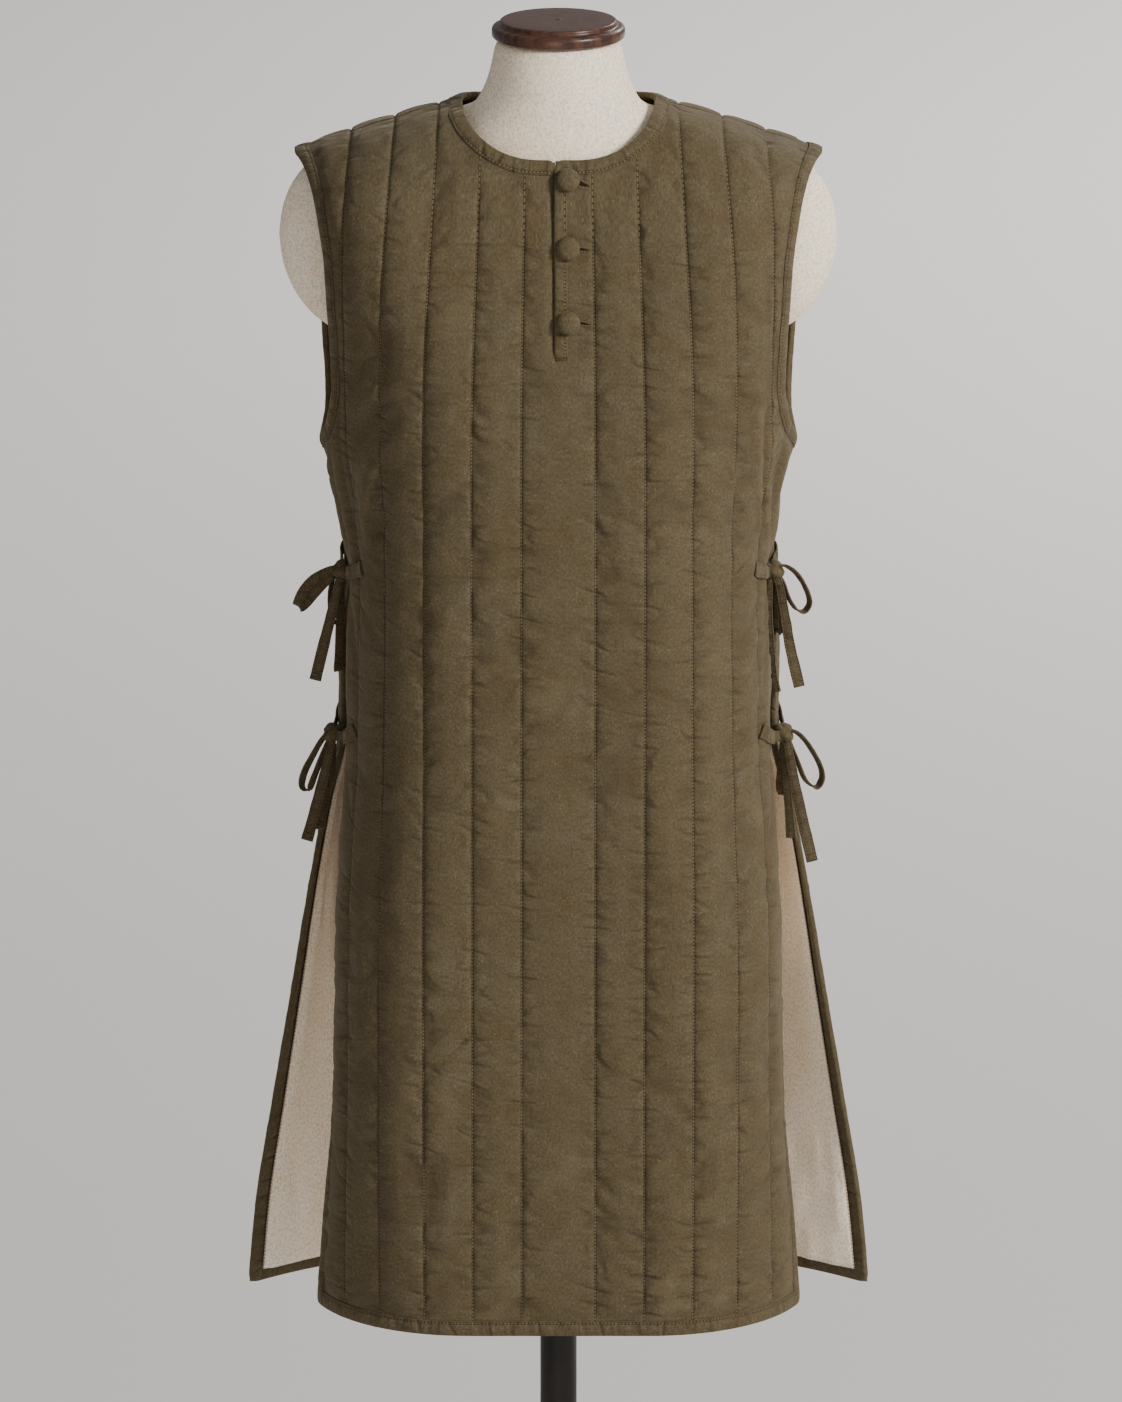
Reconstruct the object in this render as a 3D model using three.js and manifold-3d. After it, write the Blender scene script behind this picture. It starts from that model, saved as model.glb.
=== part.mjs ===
// Quilted surcoat on a limbless dress form.
// Millimetres, +Z up. The origin is the centre of the round foot, on the floor.
// +X is the viewer's right and the garment's front faces -Y.
import * as THREE from 'three'
import { mergeVertices } from 'three/addons/utils/BufferGeometryUtils.js'
import Module from 'manifold-3d'

const wasm = await Module()
wasm.setup()

// ---------------------------------------------------------------- driving sizes

const HEM = 521 // height of the hem
const SLIT_TOP = 1190 // the side seams are closed above this height
const ARMPIT = 1289 // height of the lowest point of the armholes
const YOKE = 1480 // above this level the cloth turns over the shoulders
const RIDGE = 1580 // the level of the shoulder line, where front and back meet
const RIDGE_Y = 12 // the shoulder line stands this far behind the form's axis
const RIDGE_TOP = 1596 // height of the shoulder line, if it ran on to the neck's axis
const RIDGE_DROP = 62 // how far the shoulder line falls out to the shoulder tip
const SHOULDER_TIP = 227 // half of the shoulder width
const RIDGE_ROUND = 40 // the shoulder line bends within about this far of the neck's axis
const RIDGE_SCALE = 0.88 // cloth width to plan width along the shoulder line
const SHOULDER_TURN = 1.657 // tangent length that makes a quarter turn round

const WALL = 2.5 // panel thickness at a stitch line
const PUFF = 3 // how far a quilted channel rises over its stitch lines
const SEAM = 0.3 // gap between sewn pieces
const SEAM_LEVEL = 0.18 // half of the gap at the shoulder seam, in levels
const BIND_WIDTH = 12
const BIND_WALL = 1
const MITRE_ROOM = 1.6 // how far a corner's folds stand clear of each other
const BIND_EDGE = { over: 0.45, under: 0.45 } // gaps to a binding on a straight edge
const BIND_SOFT = { over: 1.45, under: 2.6 } // gaps to one that bends across the quilting
const STITCH_LINES = [31.6, 74, 116.5, 159, 201.5] // from the centre, along the cloth

// The neckline in plan: half axes, and powers above 2 for a curve squarer than an ellipse.
const NECK = { width: 84, front: { deep: 93, power: 2.9 }, back: { deep: 57, power: 2 } }
const NECK_COLUMNS = [85.5, 92.3, 95] // more columns where the neckline turns up to the shoulder
const NECK_TURN = 2 // the neck binding's fold stands this far off the cut edge

const SLIT_X = -3 // the centre-front slit
const SLIT_WIDTH = 0.6
const SLIT_FOOT = 1381
const PLACKET = { left: -2.7, right: 6.5, gap: 0.5, wall: 1.3 }
const BUTTON = { s: 9, radius: 9.75, heights: [1528.4, 1474.3, 1412.3] }
const TAPE = { width: 10.5, thickness: 1.8, rise: 16 } // rise of a tie from its knot to its sewn end

const POLE_RADIUS = 16
const FORM_FOOT = 800 // height of the torso's underside
const FORM_TOP = 1634
const BASE_RADIUS = 215
const BASE_HEIGHT = 12

// ---------------------------------------------------------------- tables

const table = (names, rows) =>
  rows.map((row) => Object.fromEntries(names.map((name, i) => [name, row[i]])))

// The panels' level sections: a flat middle that turns into an arc at the sides.
const SECTION = ['level', 'halfWidth', 'edgeY', 'centreY', 'girth']
const FRONT = {
  side: -1,
  sections: table(SECTION, [
    [521, 210, -55, -150, 252],
    [611, 203, -52, -148, 252],
    [700, 195, -48, -146, 252],
    [880, 190.8, -38, -140, 252],
    [950, 186, -27, -137, 252],
    [1022, 181, -15, -133, 252],
    [1100, 180, -9, -130, 252],
    [1168, 176.5, -5, -128, 252],
    [1190, 180, -4.6, -127.5, 253],
    [1225, 188, -4, -127, 254],
    [1257, 196, -9, -127, 255],
    [1289, 204, -14, -126, 256],
    [1345, 206, -18, -122, 256],
    [1400, 208.6, -23, -118, 256],
    [1480, 212, -45, -105, 238]
  ]),
  armhole: table(['level', 's'], [
    [1289, 256], [1310, 233], [1345, 221], [1400, 224],
    [1450, 227], [1480, 233], [1540, 248], [1580, 258]
  ])
}
const BACK = {
  side: 1,
  sections: table(SECTION, [
    [521, 271, 0, 102, 298],
    [594, 264, 3, 108, 294],
    [685, 249.3, 5, 113, 288],
    [775, 234, 8, 116, 282],
    [866, 218.7, 10, 118, 276],
    [950, 203, 8, 118, 268],
    [1022, 187, 2, 116, 262],
    [1100, 187, 2, 110, 258],
    [1168, 178, 0.5, 106, 256],
    [1190, 181, -0.6, 107, 255],
    [1225, 188, -4, 108, 254],
    [1257, 196, -9, 109, 255],
    [1289, 204, -14, 110, 256],
    [1345, 208, 10, 112, 256],
    [1400, 211, 27, 112, 256],
    [1480, 212, 50, 104, 238]
  ]),
  armhole: table(['level', 's'], [
    [1289, 256], [1310, 241], [1345, 236], [1400, 237], [1480, 240], [1540, 250], [1580, 258]
  ])
}
// Cloth width to section width: the channels draw together towards the shoulder.
const GATHER = table(['level', 'factor'], [
  [1289, 1], [1345, 0.99], [1400, 0.97], [1480, 0.93]
])
const SKIRT_LEVELS = [620, 760, 890, 1022, 1095, 1168]
const ARMHOLE_LEVELS = [1298, 1310, 1326, 1345, 1372, 1400, 1440]
const BODY_LEVELS = [HEM, HEM + 12, ...SKIRT_LEVELS, SLIT_TOP, 1225, ARMPIT, ...ARMHOLE_LEVELS, YOKE]
const YOKE_STEPS = [0.2, 0.4, 0.6, 0.8, 1]

// The torso: half width, front and back of each ring.
const TORSO = table(['z', 'width', 'front', 'back'], [
  [800, 165, -104, 98], [830, 172, -112, 106], [900, 172, -117, 110], [1000, 166, -114, 103],
  [1100, 156, -107, 94], [1168, 152, -104, 90], [1225, 160, -107, 92], [1289, 178, -111, 95],
  [1345, 189, -108, 97], [1400, 188, -103, 95], [1440, 176, -98, 90], [1480, 156, -89, 82],
  [1510, 133, -80, 73], [1535, 108, -73, 66], [1556, 88, -66, 60], [1572, 75, -62, 60],
  [1586, 66, -61, 61], [1601, 60, -60, 60], [1634, 53, -53, 53]
])
const STUMP = { x: 172, y: 6, z: 1455, radii: [67, 42, 84], lean: 10 }
const YOKE_TUBE = { deep: 40, high: 30, half: 172, drop: 3.8, neckHalf: 96, neckDrop: 8 }

// Ties: each point is outwards and upwards from the knot, and behind it.
const POINT = ['out', 'up', 'behind']
const flatLoop = (out, up) => ({
  across: [-up, out],
  points: [0.1, 0.45, 0.85, 1, 0.85, 0.45, 0.1].map((share, i) => ({
    out: out * share, up: up * share, behind: 3 + i * 0.75
  }))
})
const BOWS = [
  {
    name: 'waist_left', side: -1, level: 1168, knot: [186, -9], tab: [190, 204, 220, 236],
    frontLoop: flatLoop(36, -25),
    frontTail: table(POINT, [[2, -3, 5], [5, -14, 5], [10, -37, 5], [17, -64, 5], [24.5, -96, 5]]),
    backLoop: flatLoop(6, -48),
    backTail: table(POINT, [[0, -3, 3.2], [1, -20, 3.2], [3, -50, 3.2], [4, -98, 3.2]])
  },
  {
    name: 'waist_right', side: 1, level: 1168, knot: [186, -9], tab: [190, 204, 220, 236],
    frontLoop: {
      points: table(POINT, [[3, 2, 3], [12, 2, 3], [21.5, -6, 3], [28, -18, 3.5], [29, -31, 4.5],
        [22, -39, 5.5], [15, -31, 6], [11.5, -20, 6], [8, -9, 6], [3, -2, 6]])
    },
    frontTail: table(POINT, [[2, -3, 5], [4, -14, 5], [8, -36, 5], [13, -65, 5], [21.7, -102, 5]]),
    backLoop: flatLoop(4, -52),
    backTail: table(POINT, [[0, -3, 3.2], [2, -30, 3.2], [3, -60, 3.2], [4.5, -104, 3.2]])
  },
  {
    name: 'hip_left', side: -1, level: 1022, knot: [195, -8], tab: [204, 214, 228, 240],
    frontLoop: {
      points: table(POINT, [[3, 3, 3], [11.5, -9, 3], [21, -25, 3], [26.5, -39, 3.5], [25, -48, 4.5],
        [18.5, -47, 5.5], [14.5, -36, 6], [9, -20, 6], [3, -5, 6]])
    },
    frontTail: table(POINT, [[2, -3, 5], [3.5, -12, 5], [10, -43, 5], [16.5, -71, 5], [22.6, -94, 5]]),
    backLoop: flatLoop(4, -46),
    backTail: table(POINT, [[0, -3, 3.2], [3, -30, 3.2], [8, -60, 3.2], [13, -92, 3.2]])
  },
  {
    name: 'hip_right', side: 1, level: 1022, knot: [195, -8], tab: [204, 214, 228, 240],
    frontLoop: {
      points: table(POINT, [[3, 3, 3], [13.5, -1.5, 3], [23.5, -16, 3], [30.5, -30, 3.5], [29.5, -42, 4.5],
        [23, -46, 5.5], [16.5, -39, 6], [11, -26, 6], [7, -13, 6], [3, -2, 6]])
    },
    frontTail: table(POINT, [[2, -3, 5], [3.5, -12, 5], [8.7, -39, 5], [17, -78, 5], [25.2, -113, 5]]),
    backLoop: flatLoop(2, -52),
    backTail: table(POINT, [[0, -3, 3.2], [3, -30, 3.2], [6, -60, 3.2], [9, -95, 3.2]])
  }
]

// ---------------------------------------------------------------- curves through the tables

// A smooth curve through one column of a table that never overshoots its rows.
function follow(rows, key, column, at) {
  const last = rows.length - 1
  const slope = (i) => (rows[i + 1][column] - rows[i][column]) / (rows[i + 1][key] - rows[i][key])
  let i = rows.findIndex((row, k) => k < last && at < rows[k + 1][key])
  if (i < 0) i = last - 1
  const turn = (k) => {
    if (k === 0) return slope(0)
    if (k === last) return slope(last - 1)
    const [a, b] = [slope(k - 1), slope(k)]
    return a * b <= 0 ? 0 : (2 * a * b) / (a + b)
  }
  const span = rows[i + 1][key] - rows[i][key]
  const t = Math.min(1, Math.max(0, (at - rows[i][key]) / span))
  const past = at - (rows[i][key] + t * span)
  return hermite(t, rows[i][column], turn(i) * span, rows[i + 1][column], turn(i + 1) * span)
    + past * turn(past < 0 ? i : i + 1)
}

function hermite(t, from, leave, to, arrive) {
  return from * (2 * t ** 3 - 3 * t ** 2 + 1) + leave * (t ** 3 - 2 * t ** 2 + t)
    + to * (3 * t ** 2 - 2 * t ** 3) + arrive * (t ** 3 - t ** 2)
}

function bisect(low, high, tooHigh) {
  for (let i = 0; i < 40; i++) {
    const middle = (low + high) / 2
    if (tooHigh(middle)) high = middle
    else low = middle
  }
  return (low + high) / 2
}

// ---------------------------------------------------------------- the cloth's surface

// A point of a panel is given by s, the way along the cloth from the centre, and its level.
const arcs = new Map()
function arcAt(panel, level) {
  const key = `${panel.side} ${level}`
  if (!arcs.has(key)) {
    const read = (column) => follow(panel.sections, 'level', column, level)
    const [halfWidth, centreY, girth] = [read('halfWidth'), read('centreY'), read('girth')]
    const wrap = Math.abs(read('edgeY') - centreY)
    const ratio = (girth - halfWidth) / wrap
    const angle = bisect(0.01, 3, (a) => (a - Math.sin(a)) / (1 - Math.cos(a)) > ratio)
    const length = (wrap * angle) / (1 - Math.cos(angle))
    arcs.set(key, { centreY, bend: angle / length, flat: girth - length })
  }
  return arcs.get(key)
}

function sectionPoint(panel, s, level) {
  const { centreY, bend, flat } = arcAt(panel, level)
  const along = Math.abs(s) * (level > ARMPIT ? follow(GATHER, 'level', 'factor', level) : 1)
  const turned = Math.max(0, along - flat) * bend
  const x = Math.min(along, flat) + Math.sin(turned) / bend
  return new THREE.Vector3(Math.sign(s) * x, centreY - panel.side * (1 - Math.cos(turned)) / bend, level)
}

// Height of the shoulder line, which slopes evenly from the neck out to the shoulder tip.
function ridgeTop(x) {
  const fall = (across) => Math.hypot(across, RIDGE_ROUND) - RIDGE_ROUND
  return RIDGE_TOP - (RIDGE_DROP * fall(x)) / fall(SHOULDER_TIP)
}

function shoulderPoint(panel, s, level) {
  const t = (level - YOKE) / (RIDGE - YOKE)
  const from = sectionPoint(panel, s, YOKE)
  const slope = from.clone().sub(sectionPoint(panel, s, YOKE - 1))
  const x = RIDGE_SCALE * s
  const top = ridgeTop(x)
  const rise = SHOULDER_TURN * (top - YOKE)
  return new THREE.Vector3(
    hermite(t, from.x, slope.x * rise, x, 0),
    hermite(t, from.y, slope.y * rise, RIDGE_Y, SHOULDER_TURN * (RIDGE_Y - from.y)),
    hermite(t, YOKE, rise, top, 0)
  )
}

function surfacePoint(panel, s, level) {
  if (level <= YOKE) return sectionPoint(panel, s, level)
  if (level <= RIDGE) return shoulderPoint(panel, s, level)
  return shoulderPoint(panel === FRONT ? BACK : FRONT, s, 2 * RIDGE - level)
}

function slopes(panel, s, level) {
  const step = 0.25
  const across = surfacePoint(panel, s + step, level).sub(surfacePoint(panel, s - step, level))
  const up = surfacePoint(panel, s, level + step).sub(surfacePoint(panel, s, level - step))
  return { across: across.divideScalar(2 * step), up: up.divideScalar(2 * step) }
}

function surfaceNormal(panel, s, level) {
  const { across, up } = slopes(panel, s, level)
  return across.cross(up).multiplyScalar(-panel.side).normalize()
}

// A point that stands off the surface; on the closed side seams it stands off square to the seam.
function offsetPoint(panel, s, level, height, square = false) {
  const normal = surfaceNormal(panel, s, level)
  if (square) normal.setY(0).normalize()
  return surfacePoint(panel, s, level).addScaledVector(normal, height)
}

// ---------------------------------------------------------------- the panels' outlines

const armholeEdge = (panel, level) => follow(panel.armhole, 'level', 's', level)
const girth = (panel, level) => follow(panel.sections, 'level', 'girth', level)
const closedSeam = (level) => level > SLIT_TOP && level <= ARMPIT

function panelEdge(panel, level) {
  if (level > ARMPIT) return armholeEdge(panel, level)
  return girth(panel, level) - (closedSeam(level) ? SEAM / 2 : 0)
}

// Beyond 1 outside the neckline, below 1 inside it.
function neckRatio(point) {
  const { deep, power } = point.y < RIDGE_Y ? NECK.front : NECK.back
  const across = Math.abs(point.x) / NECK.width
  const away = Math.abs(point.y - RIDGE_Y) / deep
  return (across ** power + away ** power) ** (1 / power)
}

const NECK_S = NECK.width / RIDGE_SCALE // where the neckline meets the shoulder seam

function topLevel(panel, s) {
  if (Math.abs(s) >= NECK_S) return RIDGE - SEAM_LEVEL
  return bisect(YOKE, RIDGE, (level) => neckRatio(surfacePoint(panel, s, level)) < 1)
}

// The quilting lies flat at the openings' bindings and reaches its full height further in.
const FLAT_TO = 14
const FULL_FROM = 34
const HEM_ROOM = 4
const PLACKET_ROOM = 8
const NECK_DEPTH = 75 // mean half width of the neckline, which turns its ratio into a distance
const PUFF_POWER = 0.6 // below 1, so that a channel is flat on top and steep at its stitches

function quiltHeight(panel, s, level) {
  const far = Math.abs(s)
  const edge = panelEdge(panel, level)
  const bound = closedSeam(level) ? edge : edge - BIND_WIDTH
  const lines = [-STITCH_LINES[0], ...STITCH_LINES, bound]
  const i = lines.findIndex((line, k) => k > 0 && far < line)
  if (i < 0) return 0
  const share = (far - lines[i - 1]) / (lines[i] - lines[i - 1])
  const point = surfacePoint(panel, s, level)
  const free = Math.min(
    (neckRatio(point) - 1) * NECK_DEPTH,
    ...ARMHOLE_LEVELS.map((l) => Math.hypot(armholeEdge(panel, l) - far, l - level)),
    Math.hypot(girth(panel, ARMPIT) - far, ARMPIT - level),
    level - HEM + HEM_ROOM,
    (RIDGE - level) * 1.5 + BIND_WIDTH
  )
  const fade = THREE.MathUtils.smoothstep(free, FLAT_TO, FULL_FROM)
  const nearSlit = s > SLIT_X - PLACKET_ROOM && s < STITCH_LINES[0]
  const underPlacket = panel === FRONT && level > SLIT_FOOT - BIND_WIDTH && nearSlit
  return underPlacket ? 0 : PUFF * fade * (4 * share * (1 - share)) ** PUFF_POWER
}

// ---------------------------------------------------------------- solids from rings and grids

function geometryOf(vertices, faces) {
  const geometry = new THREE.BufferGeometry()
  const numbers = vertices.flatMap((v) => [v.x, v.y, v.z])
  geometry.setAttribute('position', new THREE.Float32BufferAttribute(numbers, 3))
  let volume = 0
  for (const [a, b, c] of faces) {
    volume += vertices[a].dot(vertices[b].clone().cross(vertices[c]))
  }
  geometry.setIndex(faces.flatMap(([a, b, c]) => (volume > 0 ? [a, b, c] : [a, c, b])))
  geometry.computeVertexNormals()
  return geometry
}

const quad = (a, b, c, d) => [[a, b, c], [a, c, d]]

// A wall between two grids of points, without the cells that skip names.
function wall(outer, inner, skip = () => false) {
  const rows = outer.length
  const columns = outer[0].length
  const vertices = [...outer.flat(), ...inner.flat()]
  const at = (layer, j, i) => layer * rows * columns + j * columns + i
  const present = (j, i) => j >= 0 && i >= 0 && j < rows - 1 && i < columns - 1 && !skip(j, i)
  const faces = []
  const rim = (j0, i0, j1, i1) =>
    faces.push(...quad(at(0, j0, i0), at(1, j0, i0), at(1, j1, i1), at(0, j1, i1)))
  for (let j = 0; j < rows - 1; j++) {
    for (let i = 0; i < columns - 1; i++) {
      if (!present(j, i)) continue
      faces.push(...quad(at(0, j, i), at(0, j, i + 1), at(0, j + 1, i + 1), at(0, j + 1, i)))
      const under = quad(at(1, j, i), at(1, j, i + 1), at(1, j + 1, i + 1), at(1, j + 1, i))
      faces.push(...under.map((face) => face.reverse()))
      if (!present(j - 1, i)) rim(j, i, j, i + 1)
      if (!present(j, i + 1)) rim(j, i + 1, j + 1, i + 1)
      if (!present(j + 1, i)) rim(j + 1, i + 1, j + 1, i)
      if (!present(j, i - 1)) rim(j + 1, i, j, i)
    }
  }
  return geometryOf(vertices, faces)
}

// A body through rings of equal count, closed on itself or with the given caps.
// A strip named in bulges is split along the diagonal that lies further out, from one named point
// of its ring to the other.
function loft(rings, caps, bulges = {}) {
  const count = rings[0].length
  const vertices = rings.flat()
  const faces = []
  const spans = caps ? rings.length - 1 : rings.length
  for (let r = 0; r < spans; r++) {
    const [here, next] = [r * count, ((r + 1) % rings.length) * count]
    for (let i = 0; i < count; i++) {
      const k = (i + 1) % count
      const corners = [here + i, here + k, next + k, next + i]
      if (bulges[i]) {
        const [from, to] = bulges[i].map((index) => vertices[here + index])
        const away = to.clone().sub(from)
        const along = (a, b) => vertices[corners[a]].clone().add(vertices[corners[b]]).dot(away)
        if (along(1, 3) > along(0, 2)) corners.push(corners.shift())
      }
      faces.push(...quad(...corners))
    }
  }
  if (caps) {
    const end = (rings.length - 1) * count
    for (const cap of caps) {
      const [a, b, c, d] = cap
      faces.push(...quad(d, c, b, a), ...quad(end + a, end + b, end + c, end + d))
    }
  }
  return geometryOf(vertices, faces)
}

// A body through round rings, with a point in the middle of each end.
function barrel(rings) {
  const count = rings[0].length
  const middle = (ring) => ring.reduce((sum, p) => sum.add(p), new THREE.Vector3()).divideScalar(count)
  const vertices = [...rings.flat(), middle(rings[0]), middle(rings.at(-1))]
  const faces = []
  for (let i = 0; i < count; i++) {
    const k = (i + 1) % count
    for (let r = 0; r < rings.length - 1; r++) {
      faces.push(...quad(r * count + i, r * count + k, (r + 1) * count + k, (r + 1) * count + i))
    }
    faces.push([vertices.length - 2, k, i])
    faces.push([vertices.length - 1, (rings.length - 1) * count + i, (rings.length - 1) * count + k])
  }
  return geometryOf(vertices, faces)
}

function solidOf(geometry) {
  const bare = geometry.clone()
  bare.deleteAttribute('normal')
  if (bare.getAttribute('uv')) bare.deleteAttribute('uv')
  const merged = mergeVertices(bare)
  return new wasm.Manifold(new wasm.Mesh({
    numProp: 3,
    vertProperties: merged.getAttribute('position').array,
    triVerts: new Uint32Array(merged.getIndex().array)
  }))
}

function geometryFrom(solid) {
  const mesh = solid.getMesh()
  const geometry = new THREE.BufferGeometry()
  geometry.setAttribute('position', new THREE.BufferAttribute(mesh.vertProperties, 3))
  geometry.setIndex(new THREE.BufferAttribute(mesh.triVerts, 1))
  geometry.computeVertexNormals()
  return geometry
}

// ---------------------------------------------------------------- panels and linings

function panelColumns(panel) {
  const steps = (from, to, count) =>
    Array.from({ length: count }, (_, i) => from + ((to - from) * (i + 1)) / count)
  const [first, second, third, fourth, fifth] = STITCH_LINES
  const half = [
    ...steps(0, first, 2), ...steps(first, second, 2), ...NECK_COLUMNS, NECK_S, third,
    ...steps(third, fourth, 2), ...steps(fourth, fifth, 2)
  ]
  const slit = [SLIT_X - SLIT_WIDTH / 2, SLIT_X + SLIT_WIDTH / 2]
  const middle = panel === FRONT ? [...slit, 0] : [0]
  return { left: half.map((s) => -s).reverse(), middle, right: half }
}

// Beyond the last stitch line the columns follow the panel's edge.
function sideColumns(panel, level) {
  const edge = panelEdge(panel, level)
  const slant = level > ARMPIT ? armholeEdge(panel, level + 1) - armholeEdge(panel, level) : 0
  const bound = edge - BIND_WIDTH * Math.hypot(1, slant)
  return [(STITCH_LINES.at(-1) + bound) / 2, bound, edge]
}

function panelGrid(panel) {
  const { left, middle, right } = panelColumns(panel)
  const rowCount = BODY_LEVELS.length + YOKE_STEPS.length
  const levelAt = (j, s) => {
    if (j < BODY_LEVELS.length) return BODY_LEVELS[j]
    return YOKE + YOKE_STEPS[j - BODY_LEVELS.length] * (topLevel(panel, s) - YOKE)
  }
  return Array.from({ length: rowCount }, (_, j) => {
    const sides = sideColumns(panel, levelAt(j, SHOULDER_TIP))
    const columns = [...sides.map((s) => -s).reverse(), ...left, ...middle, ...right, ...sides]
    return columns.map((s) => ({ s, level: levelAt(j, s) }))
  })
}

function panelWall(panel) {
  const grid = panelGrid(panel)
  const last = grid[0].length - 1
  const place = (height) => grid.map((row) => row.map(({ s, level }, i) => {
    const square = closedSeam(level) && (i === 0 || i === last)
    return offsetPoint(panel, s, level, height(s, level), square)
  }))
  const inSlit = (j, i) => panel === FRONT && grid[j][i].level >= SLIT_FOOT
    && Math.abs((grid[j][i].s + grid[j][i + 1].s) / 2 - SLIT_X) < SLIT_WIDTH / 4
  return wall(place((s, level) => quiltHeight(panel, s, level)), place(() => -WALL), inSlit)
}

function lining(panel) {
  const depth = WALL + BIND_EDGE.under
  const levels = [HEM + BIND_WIDTH + SEAM, ...BODY_LEVELS.filter((level) => level > 540 && level < 1165)]
  const grid = levels.map((level) => {
    const edge = panelEdge(panel, level) - BIND_WIDTH - SEAM
    const half = [...STITCH_LINES, (STITCH_LINES.at(-1) + edge) / 2, edge]
    return [...half.map((s) => -s).reverse(), 0, ...half].map((s) => ({ s, level }))
  })
  const place = (height) => grid.map((row) => row.map(({ s, level }) => offsetPoint(panel, s, level, height)))
  return wall(place(-depth), place(-depth - BIND_WALL))
}

// ---------------------------------------------------------------- bindings

// A folded band round an edge. Each station has its place on the cloth and the way into the cloth.
function binding(stations, gap, turn, closed) {
  const [top, bottom] = [gap.over, -WALL - gap.under]
  const outline = [
    [BIND_WIDTH, top], [BIND_WIDTH, top + BIND_WALL], [-turn - BIND_WALL, top + BIND_WALL],
    [-turn - BIND_WALL, bottom - BIND_WALL], [BIND_WIDTH, bottom - BIND_WALL], [BIND_WIDTH, bottom],
    [-turn, bottom], [-turn, top]
  ]
  const caps = [[0, 1, 2, 7], [7, 2, 3, 6], [6, 3, 4, 5]]
  const rings = stations.map(({ panel, s, level, into }) => outline.map(([inside, height]) =>
    offsetPoint(panel, s + into.s * inside, level + into.level * inside, height)))
  const [above, beside, below] = [[0, 1], [1, 2], [5, 4]]
  const bulges = { 1: above, 7: above, 2: beside, 6: beside, 3: below, 5: below }
  return loft(rings, closed ? null : caps, bulges)
}

function edgeBinding(panel) {
  const mitre = BIND_WIDTH + MITRE_ROOM
  const levels = [HEM + mitre, ...SKIRT_LEVELS]
  const side = (sign, level, into) => ({ panel, s: sign * panelEdge(panel, level), level, into })
  const inwards = (sign) => ({ s: -sign, level: 0 })
  const corner = panelEdge(panel, HEM) - mitre
  const columns = panelGrid(panel)[0].map(({ s }) => s).filter((s) => Math.abs(s) < corner)
  const hem = [-corner, ...columns, corner]
  return binding([
    side(-1, SLIT_TOP - SEAM, inwards(-1)),
    ...levels.toReversed().map((level) => side(-1, level, inwards(-1))),
    side(-1, HEM, { s: 1, level: 1 }),
    ...hem.map((s) => ({ panel, s, level: HEM, into: { s: 0, level: 1 } })),
    side(1, HEM, { s: -1, level: 1 }),
    ...levels.map((level) => side(1, level, inwards(1))),
    side(1, SLIT_TOP - SEAM, inwards(1))
  ], BIND_EDGE, BIND_EDGE.over, false)
}

function armholeBinding(sign) {
  const overShoulder = YOKE_STEPS.slice(0, -1).map((step) => YOKE + step * (RIDGE - SEAM_LEVEL - YOKE))
  const levels = [...ARMHOLE_LEVELS, YOKE, ...overShoulder]
  const station = (panel, level) => {
    const slant = (armholeEdge(panel, level + 1) - armholeEdge(panel, level - 1)) / 2
    const length = Math.hypot(1, slant)
    return {
      panel, s: sign * armholeEdge(panel, level), level,
      into: { s: -sign / length, level: slant / length }
    }
  }
  const stations = [
    { panel: FRONT, s: sign * girth(FRONT, ARMPIT), level: ARMPIT, into: { s: 0, level: -1 } },
    ...levels.map((level) => station(FRONT, level)),
    { panel: FRONT, s: sign * armholeEdge(FRONT, RIDGE), level: RIDGE, into: { s: -sign, level: 0 } },
    ...levels.toReversed().map((level) => station(BACK, level))
  ]
  return binding(sign > 0 ? stations : stations.reverse(), BIND_SOFT, BIND_SOFT.over, true)
}

// The neckline's point on one column of a panel, with the way into the cloth square to the neckline.
function neckStation(panel, s) {
  const level = Math.abs(s) < NECK_S ? topLevel(panel, s) : RIDGE
  const point = surfacePoint(panel, s, level)
  const { deep, power } = panel === FRONT ? NECK.front : NECK.back
  const climb = (way, half) => Math.sign(way) * Math.abs(way) ** (power - 1) / half ** power
  const out = new THREE.Vector2(climb(point.x, NECK.width), climb(point.y - RIDGE_Y, deep)).normalize()
  const { across, up } = slopes(panel, s, level)
  const area = across.x * up.y - across.y * up.x
  const into = {
    s: (out.x * up.y - out.y * up.x) / area,
    level: (across.x * out.y - across.y * out.x) / area
  }
  const length = across.multiplyScalar(into.s).addScaledVector(up, into.level).length()
  return { panel, s, level, into: { s: into.s / length, level: into.level / length } }
}

function neckBinding() {
  const inside = (side) => side.filter((s) => Math.abs(s) < NECK_S)
  const front = panelColumns(FRONT)
  const back = panelColumns(BACK)
  const [slitLeft, slitRight, centre] = front.middle
  return binding([
    ...[slitRight, centre, ...inside(front.right)].map((s) => neckStation(FRONT, s)),
    neckStation(FRONT, NECK_S),
    ...[...inside(back.left), 0, ...inside(back.right)].reverse().map((s) => neckStation(BACK, s)),
    neckStation(FRONT, -NECK_S),
    ...[...inside(front.left), slitLeft].map((s) => neckStation(FRONT, s))
  ], BIND_SOFT, NECK_TURN, false)
}

// ---------------------------------------------------------------- placket and buttons

function placket() {
  const neck = topLevel(FRONT, 0)
  const top = neck - BIND_WIDTH - 1
  const between = [...ARMHOLE_LEVELS, YOKE, ...YOKE_STEPS.map((step) => YOKE + step * (neck - YOKE))]
  const levels = [SLIT_FOOT + 0.5, ...between.filter((level) => level > SLIT_FOOT && level < top), top]
  const place = (height) => levels.map((level) => [PLACKET.left, 0, PLACKET.right].map((s) =>
    offsetPoint(FRONT, s, level, height)))
  return wall(place(PLACKET.gap + PLACKET.wall), place(PLACKET.gap))
}

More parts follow.
